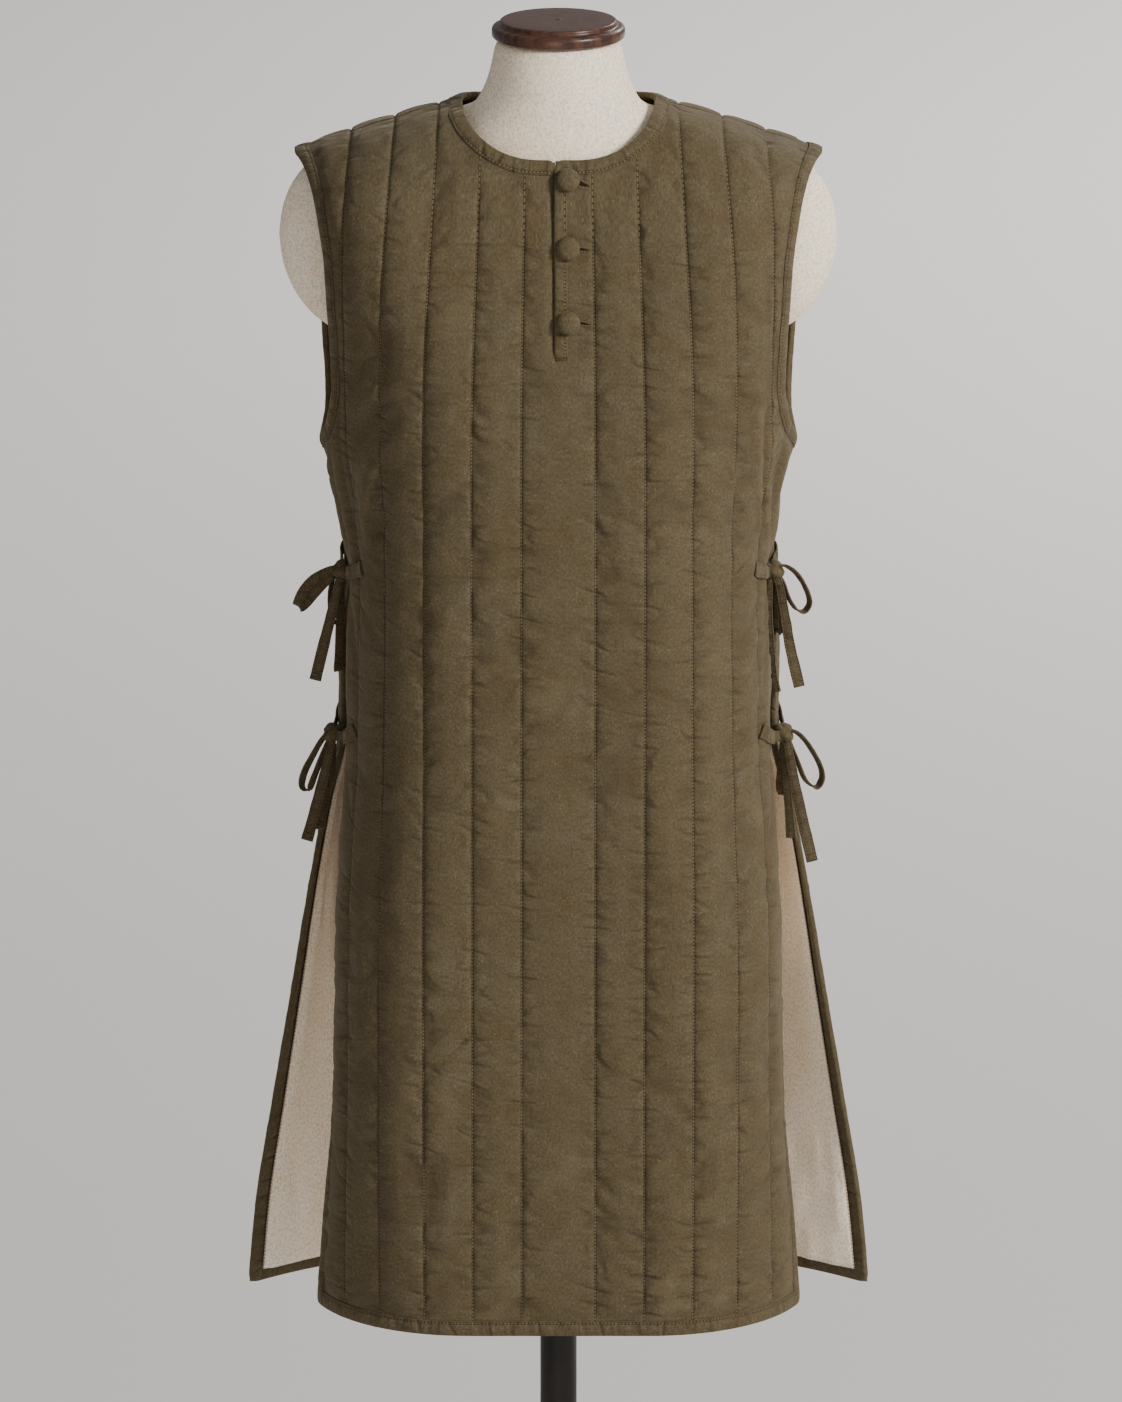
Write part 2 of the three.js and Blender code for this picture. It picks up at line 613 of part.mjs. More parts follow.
function button(height) {
  const seat = PLACKET.gap + PLACKET.wall + 2 * SEAM
  const profile = [[0, 0], [0.56, 0], [0.88, 1.6], [1, 3.6], [0.94, 5.6], [0.72, 7.4], [0.39, 8.5], [0, 8.9]]
  const dome = profile.map(([share, h]) => new THREE.Vector2(share * BUTTON.radius, h + seat))
  const geometry = new THREE.LatheGeometry(dome, 14)
  const level = bisect(SLIT_FOOT, RIDGE, (l) => surfacePoint(FRONT, BUTTON.s, l).z > height)
  const mesh = new THREE.Mesh(geometry)
  mesh.position.copy(surfacePoint(FRONT, BUTTON.s, level))
  mesh.quaternion.setFromUnitVectors(new THREE.Vector3(0, 1, 0), surfaceNormal(FRONT, BUTTON.s, level))
  return mesh
}

// ---------------------------------------------------------------- ties

// A flat tape along a smooth path. Its width runs along across, or square to the path and to Y.
function tape(points, across, widths) {
  const curve = new THREE.CatmullRomCurve3(points, false, 'centripetal')
  const count = Math.round(1.5 * points.length)
  const rings = Array.from({ length: count + 1 }, (_, i) => {
    const along = curve.getTangent(i / count)
    const wide = across ? across.clone() : new THREE.Vector3(-along.z, 0, along.x).normalize()
    const face = along.clone().cross(wide).normalize()
    const half = THREE.MathUtils.lerp(widths[0], widths[1], i / count) / 2
    const centre = curve.getPoint(i / count)
    return [[-1, -1], [1, -1], [1, 1], [-1, 1]].map(([w, f]) =>
      centre.clone().addScaledVector(wide, w * half).addScaledVector(face, (f * TAPE.thickness) / 2))
  })
  return loft(rings, [[0, 1, 2, 3]])
}

function tie(bow, panel) {
  const [x, y] = bow.knot
  const knot = new THREE.Vector3(bow.side * x, y, bow.level)
  const place = ({ out, up, behind }) => new THREE.Vector3(bow.side * out, panel.side * behind, up).add(knot)
  const upright = new THREE.Vector3(0, 0, 1)
  const lift = PUFF + SEAM + TAPE.thickness
  const tabEnd = knot.clone().add(new THREE.Vector3(0, panel.side * 4, 0))
  const onPanel = bow.tab.map((s, i) => {
    const rise = TAPE.rise * (1 - i / (bow.tab.length - 1))
    return offsetPoint(panel, bow.side * s, bow.level + rise, lift)
  })
  const tab = tape([...onPanel, tabEnd], upright, [TAPE.width, TAPE.width * 0.7])
  const loop = panel === FRONT ? bow.frontLoop : bow.backLoop
  const across = loop.across
    ? new THREE.Vector3(bow.side * loop.across[0], 0, loop.across[1]).normalize()
    : null
  const loopTape = tape(loop.points.map(place), across, [TAPE.width * 0.8, TAPE.width * 0.8])
  const hanging = panel === FRONT ? bow.frontTail : bow.backTail
  const tail = tape(hanging.map(place), null, [TAPE.width * 0.7, TAPE.width])
  const ball = new THREE.SphereGeometry(1, 12, 8)
  ball.applyMatrix4(new THREE.Matrix4().makeScale(7.5, 8.5, 9.5).setPosition(knot))
  const half = new THREE.BoxGeometry(40, 20, 40)
  half.translate(knot.x, knot.y + panel.side * (10 + SEAM / 2), knot.z)
  const parts = [tab, loopTape, tail].map(solidOf)
  const halfKnot = solidOf(ball).intersect(solidOf(half))
  return geometryFrom(parts.reduce((sum, part) => sum.add(part), halfKnot))
}

// ---------------------------------------------------------------- dress form

function torsoRing({ z, width, front, back }) {
  const count = 32
  return Array.from({ length: count }, (_, i) => {
    const angle = (2 * Math.PI * i) / count
    const deep = Math.sin(angle) < 0 ? -front : back
    return new THREE.Vector3(width * Math.cos(angle), deep * Math.sin(angle), z)
  })
}

function yokeRing(x) {
  const count = 14
  const { deep, high, drop, neckHalf, neckDrop } = YOKE_TUBE
  const top = ridgeTop(x)
  const under = Math.abs(x) < neckHalf ? neckDrop : drop
  return Array.from({ length: count }, (_, i) => {
    const angle = (2 * Math.PI * i) / count
    return new THREE.Vector3(x, RIDGE_Y + deep * Math.cos(angle), top - under - high + high * Math.sin(angle))
  })
}

function formTorso() {
  const torso = barrel(TORSO.map(torsoRing))
  const { half, neckHalf } = YOKE_TUBE
  const stations = [half, 150, 128, 110, neckHalf + 4, neckHalf - 1, 70, 35]
  const yoke = barrel([...stations.map((x) => -x), 0, ...stations.toReversed()].map(yokeRing))
  const stumps = [-1, 1].map((sign) => {
    const stump = new THREE.SphereGeometry(1, 18, 12)
    stump.applyMatrix4(new THREE.Matrix4().makeScale(...STUMP.radii))
    stump.applyMatrix4(new THREE.Matrix4().makeRotationY(THREE.MathUtils.degToRad(sign * STUMP.lean)))
    return stump.translate(sign * STUMP.x, STUMP.y, STUMP.z)
  })
  return geometryFrom([yoke, ...stumps].map(solidOf).reduce((sum, part) => sum.add(part), solidOf(torso)))
}

// A turned piece about the vertical axis, from radius and height pairs.
function turned(profile, segments = 28) {
  const geometry = new THREE.LatheGeometry(profile.map(([r, z]) => new THREE.Vector2(r, z)), segments)
  return geometry.rotateX(Math.PI / 2)
}

const capFoot = FORM_TOP + SEAM
const NECK_CAP = [
  [0, 0], [55, 0], [57, 2], [57, 8], [55, 10.5], [51, 11], [50, 12], [50, 14], [48.5, 15.4], [2, 15.4],
  [2, 15.9], [0, 15.9]
].map(([r, h]) => [r, capFoot + h])
const collarTop = BASE_HEIGHT + SEAM + 24
const socketFoot = FORM_FOOT - SEAM - 22
const BASE_COLLAR = [[0, BASE_HEIGHT + SEAM], [32, BASE_HEIGHT + SEAM], [32, 30], [26, collarTop],
  [0, collarTop]]
const POLE = [[0, collarTop + SEAM], [POLE_RADIUS, collarTop + SEAM], [POLE_RADIUS, socketFoot - SEAM],
  [0, socketFoot - SEAM]]
const POLE_SOCKET = [[0, socketFoot], [22, socketFoot], [24, socketFoot + 12], [46, socketFoot + 15],
  [46, FORM_FOOT - SEAM], [0, FORM_FOOT - SEAM]]
const BASE_PLATE = [[0, 0], [BASE_RADIUS - 2, 0], [BASE_RADIUS, 2], [BASE_RADIUS, 8],
  [BASE_RADIUS - 4, BASE_HEIGHT], [0, BASE_HEIGHT]]

// ---------------------------------------------------------------- scene graph

const cotton = new THREE.MeshStandardMaterial({ color: 0x66573f, roughness: 0.9, metalness: 0 })
const natural = new THREE.MeshStandardMaterial({ color: 0xd8c9b6, roughness: 0.92, metalness: 0 })
const linen = new THREE.MeshStandardMaterial({ color: 0xe6dccf, roughness: 0.93, metalness: 0 })
const varnish = new THREE.MeshStandardMaterial({ color: 0x3e261b, roughness: 0.3, metalness: 0 })
const blackMetal = new THREE.MeshStandardMaterial({ color: 0x2c2825, roughness: 0.45, metalness: 0.6 })

const surcoat = new THREE.Group()
const form = new THREE.Group()

function add(group, name, piece, material) {
  const mesh = piece.isMesh ? piece : new THREE.Mesh(piece)
  mesh.name = name
  mesh.material = material
  group.add(mesh)
}

add(surcoat, 'front_panel', panelWall(FRONT), cotton)
add(surcoat, 'back_panel', panelWall(BACK), cotton)
add(surcoat, 'front_lining', lining(FRONT), natural)
add(surcoat, 'back_lining', lining(BACK), natural)
add(surcoat, 'front_edge_binding', edgeBinding(FRONT), cotton)
add(surcoat, 'back_edge_binding', edgeBinding(BACK), cotton)
add(surcoat, 'neck_binding', neckBinding(), cotton)
add(surcoat, 'armhole_binding_left', armholeBinding(-1), cotton)
add(surcoat, 'armhole_binding_right', armholeBinding(1), cotton)
add(surcoat, 'placket', placket(), cotton)
BUTTON.heights.forEach((height, i) => add(surcoat, `button_${i + 1}`, button(height), cotton))
for (const bow of BOWS) {
  add(surcoat, `tie_${bow.name}_front`, tie(bow, FRONT), cotton)
  add(surcoat, `tie_${bow.name}_back`, tie(bow, BACK), cotton)
}
add(form, 'form_torso', formTorso(), linen)
add(form, 'neck_cap', turned(NECK_CAP), varnish)
add(form, 'pole_socket', turned(POLE_SOCKET, 20), blackMetal)
add(form, 'pole', turned(POLE, 20), blackMetal)
add(form, 'base_collar', turned(BASE_COLLAR, 20), blackMetal)
add(form, 'base_plate', turned(BASE_PLATE), blackMetal)

const part = new THREE.Group()
part.add(surcoat, form)

export default part
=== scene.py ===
# %% [markdown]
# # Quilted surcoat on a dress form
#
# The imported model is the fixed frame. Every cloth piece is made again here on the same surface,
# with finer quilting, puckers, hems, stitches and knots, and each piece gets its material.
# Lengths in the cloth functions are millimetres. A mesh is made in metres.

# %%
import math

import bpy
import numpy as np
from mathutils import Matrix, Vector


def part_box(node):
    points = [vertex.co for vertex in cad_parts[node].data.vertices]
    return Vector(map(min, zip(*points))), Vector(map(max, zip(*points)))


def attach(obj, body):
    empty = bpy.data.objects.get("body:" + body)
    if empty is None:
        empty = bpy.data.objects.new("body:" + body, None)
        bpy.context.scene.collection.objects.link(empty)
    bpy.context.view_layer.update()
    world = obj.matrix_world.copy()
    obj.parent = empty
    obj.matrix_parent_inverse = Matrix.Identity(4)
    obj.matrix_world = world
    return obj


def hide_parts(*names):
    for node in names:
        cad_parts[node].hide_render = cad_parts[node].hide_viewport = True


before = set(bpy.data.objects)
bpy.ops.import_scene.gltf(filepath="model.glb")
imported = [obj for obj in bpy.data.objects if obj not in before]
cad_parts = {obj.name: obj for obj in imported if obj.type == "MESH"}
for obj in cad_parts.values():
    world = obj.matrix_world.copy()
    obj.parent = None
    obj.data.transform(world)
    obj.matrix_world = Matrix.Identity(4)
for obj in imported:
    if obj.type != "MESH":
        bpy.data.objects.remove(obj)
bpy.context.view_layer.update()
MM = 0.001
print("nodes in the frame:", len(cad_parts))

# %% [markdown]
# ## Camera
# A long lens looks slightly down on the whole garment from the front.

# %%
LENS = 307.7
SENSOR = 36.0
CAMERA_PLACE = (0.0022, -10.0, 3.77557)
CAMERA_AIM = (0.0022, 0.0, 1.04787)


def aimed(name, data, place, target):
    """A camera or light that looks at its target."""
    thing = bpy.data.objects.new(name, data)
    thing.location = place
    way = Vector(target) - Vector(place)
    thing.rotation_euler = way.to_track_quat("-Z", "Y").to_euler()
    bpy.context.scene.collection.objects.link(thing)
    return thing


camera_data = bpy.data.cameras.new("camera")
camera_data.lens = LENS
camera_data.sensor_fit = "VERTICAL"
camera_data.sensor_height = SENSOR
bpy.context.scene.camera = aimed("camera", camera_data, CAMERA_PLACE, CAMERA_AIM)
print("camera at", CAMERA_PLACE)

# %% [markdown]
# ## Sizes
# The driving sizes of the cloth, in millimetres, as in the part's source.

# %%
HEM = 521
SLIT_TOP = 1190
ARMPIT = 1289
YOKE = 1480
RIDGE = 1580
RIDGE_Y = 12
RIDGE_TOP = 1596
RIDGE_DROP = 62
SHOULDER_TIP = 227
RIDGE_ROUND = 40
RIDGE_SCALE = 0.88
SHOULDER_TURN = 1.657
SEAM = 0.3
SEAM_LEVEL = 0.18
WALL = 2.5
PUFF = 3.0
BIND_WIDTH = 12.0
STITCH_LINES = [31.6, 74.0, 116.5, 159.0, 201.5]
LAST_LINE = STITCH_LINES[-1]
NECK_WIDTH = 84
NECK_FRONT = 93
NECK_BACK = 57
NECK_POWER = 2.9
TIP_ROUND = 2.6
NECK_S = NECK_WIDTH / RIDGE_SCALE
SLIT_S = -3.0
SLIT_FOOT = 1381
BUTTON_S = 9.0
BUTTON_HEIGHTS = [1528.4, 1474.3, 1412.3]
BUTTON_RADIUS = 9.75

# level, half width, y of the side edge, y of the middle, half girth
FRONT_SECTIONS = [
    (521, 210, -55, -150, 252),
    (611, 203, -52, -148, 252),
    (700, 195, -48, -146, 252),
    (880, 190.8, -38, -140, 252),
    (950, 186, -27, -137, 252),
    (1022, 181, -15, -133, 252),
    (1100, 180, -9, -130, 252),
    (1168, 176.5, -5, -128, 252),
    (1190, 180, -4.6, -127.5, 253),
    (1225, 188, -4, -127, 254),
    (1257, 196, -9, -127, 255),
    (1289, 204, -14, -126, 256),
    (1345, 206, -18, -122, 256),
    (1400, 208.6, -23, -118, 256),
    (1480, 212, -45, -105, 238),
]
BACK_SECTIONS = [
    (521, 271, 0, 102, 298),
    (594, 264, 3, 108, 294),
    (685, 249.3, 5, 113, 288),
    (775, 234, 8, 116, 282),
    (866, 218.7, 10, 118, 276),
    (950, 203, 8, 118, 268),
    (1022, 187, 2, 116, 262),
    (1100, 187, 2, 110, 258),
    (1168, 178, 0.5, 106, 256),
    (1190, 181, -0.6, 107, 255),
    (1225, 188, -4, 108, 254),
    (1257, 196, -9, 109, 255),
    (1289, 204, -14, 110, 256),
    (1345, 208, 10, 112, 256),
    (1400, 211, 27, 112, 256),
    (1480, 212, 50, 104, 238),
]
# level, way along the cloth from the centre to the armhole's edge
FRONT_ARMHOLE = [
    (1289, 256), (1310, 233), (1345, 221), (1400, 224),
    (1450, 227), (1480, 233), (1540, 248), (1580, 258),
]
BACK_ARMHOLE = [
    (1289, 256), (1310, 241), (1345, 236), (1400, 237), (1480, 240), (1540, 250), (1580, 258),
]
# level, cloth width to section width
GATHER = [(1289, 1.0), (1345, 0.99), (1400, 0.97), (1480, 0.93)]

FRONT = {"side": -1, "sections": np.array(FRONT_SECTIONS, float), "armhole": FRONT_ARMHOLE}
BACK = {"side": 1, "sections": np.array(BACK_SECTIONS, float), "armhole": BACK_ARMHOLE}
print("hem", HEM, "mm, shoulder line", RIDGE_TOP, "mm")

# %% [markdown]
# ## Curves through the tables

# %%


def hermite(t, start, leave, to, arrive):
    return (
        start * (2 * t**3 - 3 * t**2 + 1)
        + leave * (t**3 - 2 * t**2 + t)
        + to * (3 * t**2 - 2 * t**3)
        + arrive * (t**3 - t**2)
    )


def follow(rows, at, column=1):
    """A smooth curve through one column of a table that never overshoots its rows."""
    rows = np.asarray(rows, float)
    keys, values = rows[:, 0], rows[:, column]
    slopes = np.diff(values) / np.diff(keys)
    before, after = slopes[:-1], slopes[1:]
    same_way = before * after > 0
    total = np.where(same_way, before + after, 1)
    middle = np.where(same_way, 2 * before * after / total, 0)
    turns = np.concatenate([slopes[:1], middle, slopes[-1:]])
    at = np.asarray(at, float)
    i = np.clip(np.searchsorted(keys, at, side="right") - 1, 0, len(keys) - 2)
    span = keys[i + 1] - keys[i]
    t = np.clip((at - keys[i]) / span, 0, 1)
    past = at - (keys[i] + t * span)
    inside = hermite(t, values[i], turns[i] * span, values[i + 1], turns[i + 1] * span)
    return inside + past * np.where(past < 0, turns[i], turns[i + 1])


def smoothstep(value, low, high):
    t = np.clip((value - low) / (high - low), 0, 1)
    return t * t * (3 - 2 * t)


def arrays(*values):
    """The values as float arrays of one shape."""
    return np.broadcast_arrays(*(np.asarray(value, float) for value in values))


def unit(vectors):
    return vectors / np.linalg.norm(vectors, axis=-1, keepdims=True)


def way_along(points):
    """The way from the first of a row of points to each of them."""
    return np.concatenate([[0], np.cumsum(np.linalg.norm(np.diff(points, axis=0), axis=1))])


def spread(start, end, step):
    return np.linspace(start, end, max(2, math.ceil((end - start) / step) + 1))


def circle(count):
    return np.linspace(0, 2 * math.pi, count, endpoint=False)


LATTICE = np.random.default_rng(11).uniform(-1, 1, (256, 256))


def noise(x, y, seed=0):
    """Smooth seeded noise from -1 to 1, with one hill or hollow for each unit."""
    x, y = arrays(x, y)
    column, row = np.floor(x).astype(int), np.floor(y).astype(int)
    u, v = (t**3 * (t * (6 * t - 15) + 10) for t in (x - column, y - row))

    def corner(i, j):
        return LATTICE[(column + i + 37 * seed) & 255, (row + j + 91 * seed) & 255]

    low, high = (corner(0, j) * (1 - u) + corner(1, j) * u for j in (0, 1))
    return low * (1 - v) + high * v


print("armhole at the chest:", float(follow(FRONT_ARMHOLE, 1345)), "mm from the centre")

# %% [markdown]
# ## The cloth's surface
# A point of a panel is given by s, the way along the cloth from the centre, and its level.

# %%
ANGLES = np.linspace(0.01, 3, 4000)
ANGLE_RATIOS = (ANGLES - np.sin(ANGLES)) / (1 - np.cos(ANGLES))


def section_point(panel, s, level):
    half_width, edge_y, centre_y, half_girth = (follow(panel["sections"], level, k) for k in (1, 2, 3, 4))
    wrap = np.abs(edge_y - centre_y)
    angle = np.interp((half_girth - half_width) / wrap, ANGLE_RATIOS, ANGLES)
    length = wrap * angle / (1 - np.cos(angle))
    bend = angle / length
    flat = half_girth - length
    along = np.abs(s) * np.where(level > ARMPIT, follow(GATHER, level), 1)
    turned = np.maximum(0, along - flat) * bend
    x = np.minimum(along, flat) + np.sin(turned) / bend
    y = centre_y - panel["side"] * (1 - np.cos(turned)) / bend
    return np.stack(arrays(np.sign(s) * x, y, level), -1)


def ridge_top(x):
    """Height of the shoulder line, which slopes evenly from the neck out to the shoulder tip."""
    fall = np.hypot(x, RIDGE_ROUND) - RIDGE_ROUND
    return RIDGE_TOP - RIDGE_DROP * fall / (math.hypot(SHOULDER_TIP, RIDGE_ROUND) - RIDGE_ROUND)


def shoulder_point(panel, s, level):
    t = (level - YOKE) / (RIDGE - YOKE)
    start = section_point(panel, s, np.full_like(s, float(YOKE)))
    slope = start - section_point(panel, s, np.full_like(s, YOKE - 1.0))
    x = RIDGE_SCALE * s
    top = ridge_top(x)
    rise = SHOULDER_TURN * (top - YOKE)
    over = SHOULDER_TURN * (RIDGE_Y - start[..., 1])
    return np.stack([
        hermite(t, start[..., 0], slope[..., 0] * rise, x, 0),
        hermite(t, start[..., 1], slope[..., 1] * rise, RIDGE_Y, over),
        hermite(t, YOKE, rise, top, 0),
    ], -1)


def surface_point(panel, s, level):
    s, level = arrays(s, level)
    other = BACK if panel is FRONT else FRONT
    below = section_point(panel, s, np.minimum(level, YOKE))
    above = shoulder_point(panel, s, np.clip(level, YOKE, RIDGE))
    beyond = shoulder_point(other, s, np.clip(2 * RIDGE - level, YOKE, RIDGE))
    point = np.where((level <= YOKE)[..., None], below, above)
    return np.where((level > RIDGE)[..., None], beyond, point)


def slopes(panel, s, level):
    step = 0.25
    across = surface_point(panel, s + step, level) - surface_point(panel, s - step, level)
    up = surface_point(panel, s, level + step) - surface_point(panel, s, level - step)
    return across / (2 * step), up / (2 * step)


def surface_normal(panel, s, level):
    return unit(-panel["side"] * np.cross(*slopes(panel, s, level)))


def offset_point(panel, s, level, height, square=0):
    """A point that stands off the surface. Where square is 1, it stands off in the side seam's plane."""
    normal = surface_normal(panel, s, level)
    flat = normal * (1, 0, 1)
    flat = flat / np.maximum(np.linalg.norm(flat, axis=-1, keepdims=True), 1e-6)
    normal = normal + (flat - normal) * np.asarray(square, float)[..., None]
    return surface_point(panel, s, level) + normal * np.asarray(height, float)[..., None]


def armhole_edge(panel, level):
    tip = TIP_ROUND * np.exp(-(((RIDGE - np.asarray(level, float)) / 7) ** 2))
    return follow(panel["armhole"], level) - tip


def closed_seam(level):
    return (level > SLIT_TOP) & (level <= ARMPIT)


def panel_edge(panel, level):
    below = follow(panel["sections"], level, 4) - np.where(closed_seam(level), SEAM / 2, 0)
    return np.where(level > ARMPIT, armhole_edge(panel, level), below)


def neck_ratio(point):
    """Beyond 1 outside the neckline, below 1 inside it. The front is squarer than an ellipse."""
    front = point[..., 1] < RIDGE_Y
    deep = np.where(front, NECK_FRONT, NECK_BACK)
    power = np.where(front, NECK_POWER, 2)
    across = np.abs(point[..., 0]) / NECK_WIDTH
    away = np.abs(point[..., 1] - RIDGE_Y) / deep
    return (across**power + away**power) ** (1 / power)


def find_level(s, start, past):
    """The level above start, at each s, where the test past begins to hold."""
    low, high = np.full_like(s, float(start)), np.full_like(s, float(RIDGE))
    for _ in range(30):
        middle = (low + high) / 2
        beyond = past(middle)
        low, high = np.where(beyond, low, middle), np.where(beyond, middle, high)
    return (low + high) / 2


def top_level(panel, s):
    """The level of the neckline above each s, or of the shoulder seam."""
    s = np.asarray(s, float)
    neckline = find_level(s, YOKE, lambda level: neck_ratio(surface_point(panel, s, level)) < 1)
    return np.where(np.abs(s) >= NECK_S, RIDGE - SEAM_LEVEL, neckline)


NECKLINE = float(top_level(FRONT, 0.0))
print("neckline at the front:", round(NECKLINE, 1))

# %% [markdown]
# ## Quilting, puckers and creases
# The relief of the cloth over its surface. Channels puff up between the stitch lines, the cloth
# puckers along each line, and the main creases are listed one by one.

# %%
# s and level of one end, s and level of the other, height (below 0 for a trough), half width
FRONT_CREASES = [
    (157, 1432, 190, 1406, -1.3, 6), (151, 1354, 187, 1331, -1.4, 6), (196, 1444, 193, 1396, -1.2, 4),
    (154, 1350, 181, 1308, -1.6, 6), (157, 1286, 180, 1258, -1.5, 6), (115, 1316, 136, 1301, -1.1, 5),
    (115, 1252, 151, 1220, -1.2, 6), (159, 1223, 180, 1202, -1.3, 5), (153, 1286, 186, 1224, 1.6, 4),
    (183, 1355, 208, 1200, 2.0, 5), (196, 1340, 212, 1196, -2.2, 4), (205, 1330, 219, 1192, 2.2, 5),
    (222, 1296, 228, 1192, -2.4, 5), (232, 1280, 236, 1190, 2.2, 5), (248, 1262, 243, 1188, -2.0, 4),
    (120, 1345, 146, 1330, -0.9, 6), (124, 1282, 150, 1262, -1.0, 6), (118, 1200, 150, 1186, -0.9, 7),
    (78, 1330, 104, 1322, -0.7, 6), (80, 1262, 108, 1250, -0.8, 6), (78, 1212, 112, 1204, -0.7, 7),
    (162, 1120, 195, 1150, -1.2, 6), (164, 1088, 198, 1132, 1.2, 6), (206, 1060, 222, 1150, -1.8, 6),
    (228, 1050, 234, 1150, 1.4, 6), (164, 990, 196, 1008, -1.0, 6), (206, 930, 224, 1006, -1.4, 6),
    (-149, 1242, -175, 1204, -1.5, 6), (-179, 1290, -178, 1205, 2.0, 4), (-156, 1292, -178, 1236, 1.6, 4),
    (-208, 1330, -202, 1196, -2.2, 5), (-217, 1310, -212, 1192, 2.2, 5), (-228, 1296, -222, 1192, -2.4, 5),
    (-246, 1272, -232, 1190, 2.2, 5), (-152, 1340, -190, 1290, -1.8, 6), (-156, 1392, -192, 1342, -1.5, 7),
    (-118, 1300, -150, 1262, -1.3, 7), (-120, 1352, -152, 1318, -1.0, 7), (-76, 1262, -108, 1244, -0.9, 7),
    (-160, 1440, -190, 1412, -1.0, 6), (-118, 1222, -152, 1196, -1.0, 7), (-80, 1182, -110, 1190, -0.8, 8),
    (-162, 1118, -195, 1150, -1.3, 6), (-120, 1118, -152, 1132, -0.8, 7), (-206, 1060, -222, 1150, -1.8, 6),
    (-228, 1050, -236, 1150, 1.4, 6), (-164, 988, -196, 1008, -1.1, 6), (-206, 930, -224, 1006, -1.5, 6),
    (-78, 980, -110, 990, -0.7, 8), (-120, 950, -152, 962, -0.8, 8), (-160, 860, -196, 880, -0.8, 8),
    (34, 1150, 70, 1142, -0.5, 8), (-66, 1080, -36, 1090, -0.5, 8), (36, 905, 70, 912, -0.5, 8),
    (-30, 1376, -8, 1350, -0.8, 6), (8, 1362, 28, 1334, -0.8, 6),
]
BACK_CREASES = [
    (sign * s0, l0, sign * s1, l1, height, width)
    for sign in (-1, 1)
    for s0, l0, s1, l1, height, width in [
        (160, 1420, 192, 1390, -1.2, 7), (154, 1340, 188, 1300, -1.5, 7), (120, 1300, 150, 1266, -1.0, 8),
        (160, 1262, 196, 1206, -1.6, 7), (200, 1320, 214, 1196, 2.0, 6), (212, 1310, 226, 1192, -2.0, 6),
        (230, 1280, 240, 1190, 2.0, 6), (78, 1222, 110, 1196, -0.8, 8), (162, 1116, 198, 1150, -1.3, 7),
        (206, 1062, 224, 1150, -1.6, 7), (164, 986, 200, 1010, -1.1, 7), (208, 900, 230, 1004, -1.6, 8),
        (230, 800, 250, 960, 1.6, 9), (120, 900, 152, 914, -0.7, 9), (206, 690, 240, 840, -1.2, 10),
    ]
]
CREASE_DEPTH = 1.25
FRONT["creases"] = FRONT_CREASES
BACK["creases"] = BACK_CREASES


def crease_relief(panel, s, level):
    total = np.zeros(s.shape)
    for s0, level0, s1, level1, height, width in panel["creases"]:
        ds, dl = s1 - s0, level1 - level0
        length = math.hypot(ds, dl)
        reach = 3 * width
        near = (s > min(s0, s1) - reach) & (s < max(s0, s1) + reach)
        near &= (level > min(level0, level1) - reach) & (level < max(level0, level1) + reach)
        a, b = s[near] - s0, level[near] - level0
        t = (a * ds + b * dl) / length**2
        bow = 0.06 * length * np.sin(math.pi * np.clip(t, 0, 1))
        off = (a * dl - b * ds) / length - bow
        run = smoothstep(t, -0.15, 0.25) * (1 - smoothstep(t, 0.7, 1.2))
        total[near] += CREASE_DEPTH * height * run * np.exp(-((off / width) ** 2))
    return total


def armhole_distance(panel, s, level):
    levels = np.concatenate([[ARMPIT - 6.0, ARMPIT], np.arange(1294, RIDGE + 1, 8.0)])
    edges = armhole_edge(panel, np.maximum(levels, ARMPIT))
    distance = np.full(s.shape, 1e3)
    for l0, l1, e0, e1 in zip(levels[:-1], levels[1:], edges[:-1], edges[1:]):
        dl, de = l1 - l0, e1 - e0
        t = np.clip(((level - l0) * dl + (np.abs(s) - e0) * de) / (dl * dl + de * de), 0, 1)
        found = np.hypot(level - l0 - t * dl, np.abs(s) - e0 - t * de)
        distance = np.minimum(distance, found)
    return distance


def channel(panel, s, level):
    """Where a point lies between its stitch lines: their distance, the channel's width and its number."""
    far = np.abs(s)
    sewn = smoothstep(level, 1180, 1192) * (1 - smoothstep(level, 1284, 1294))
    bound = panel_edge(panel, level) - (BIND_WIDTH - 0.5) * (1 - sewn)
    number = np.searchsorted(STITCH_LINES, far)
    low = np.array([-STITCH_LINES[0], *STITCH_LINES])[number]
    high = np.where(number < len(STITCH_LINES), np.array([*STITCH_LINES, 0])[number], bound)
    width = np.maximum(high - low, 4)
    to_line = np.clip(np.minimum(far - low, high - far), 0, None)
    return to_line, width, number


TUCK_SPACING = 17
TUCK_WIDTH = 0.3
TUCK_DEPTH = 3.8
TUCK_REACH = 13
LOWEST = -1.9


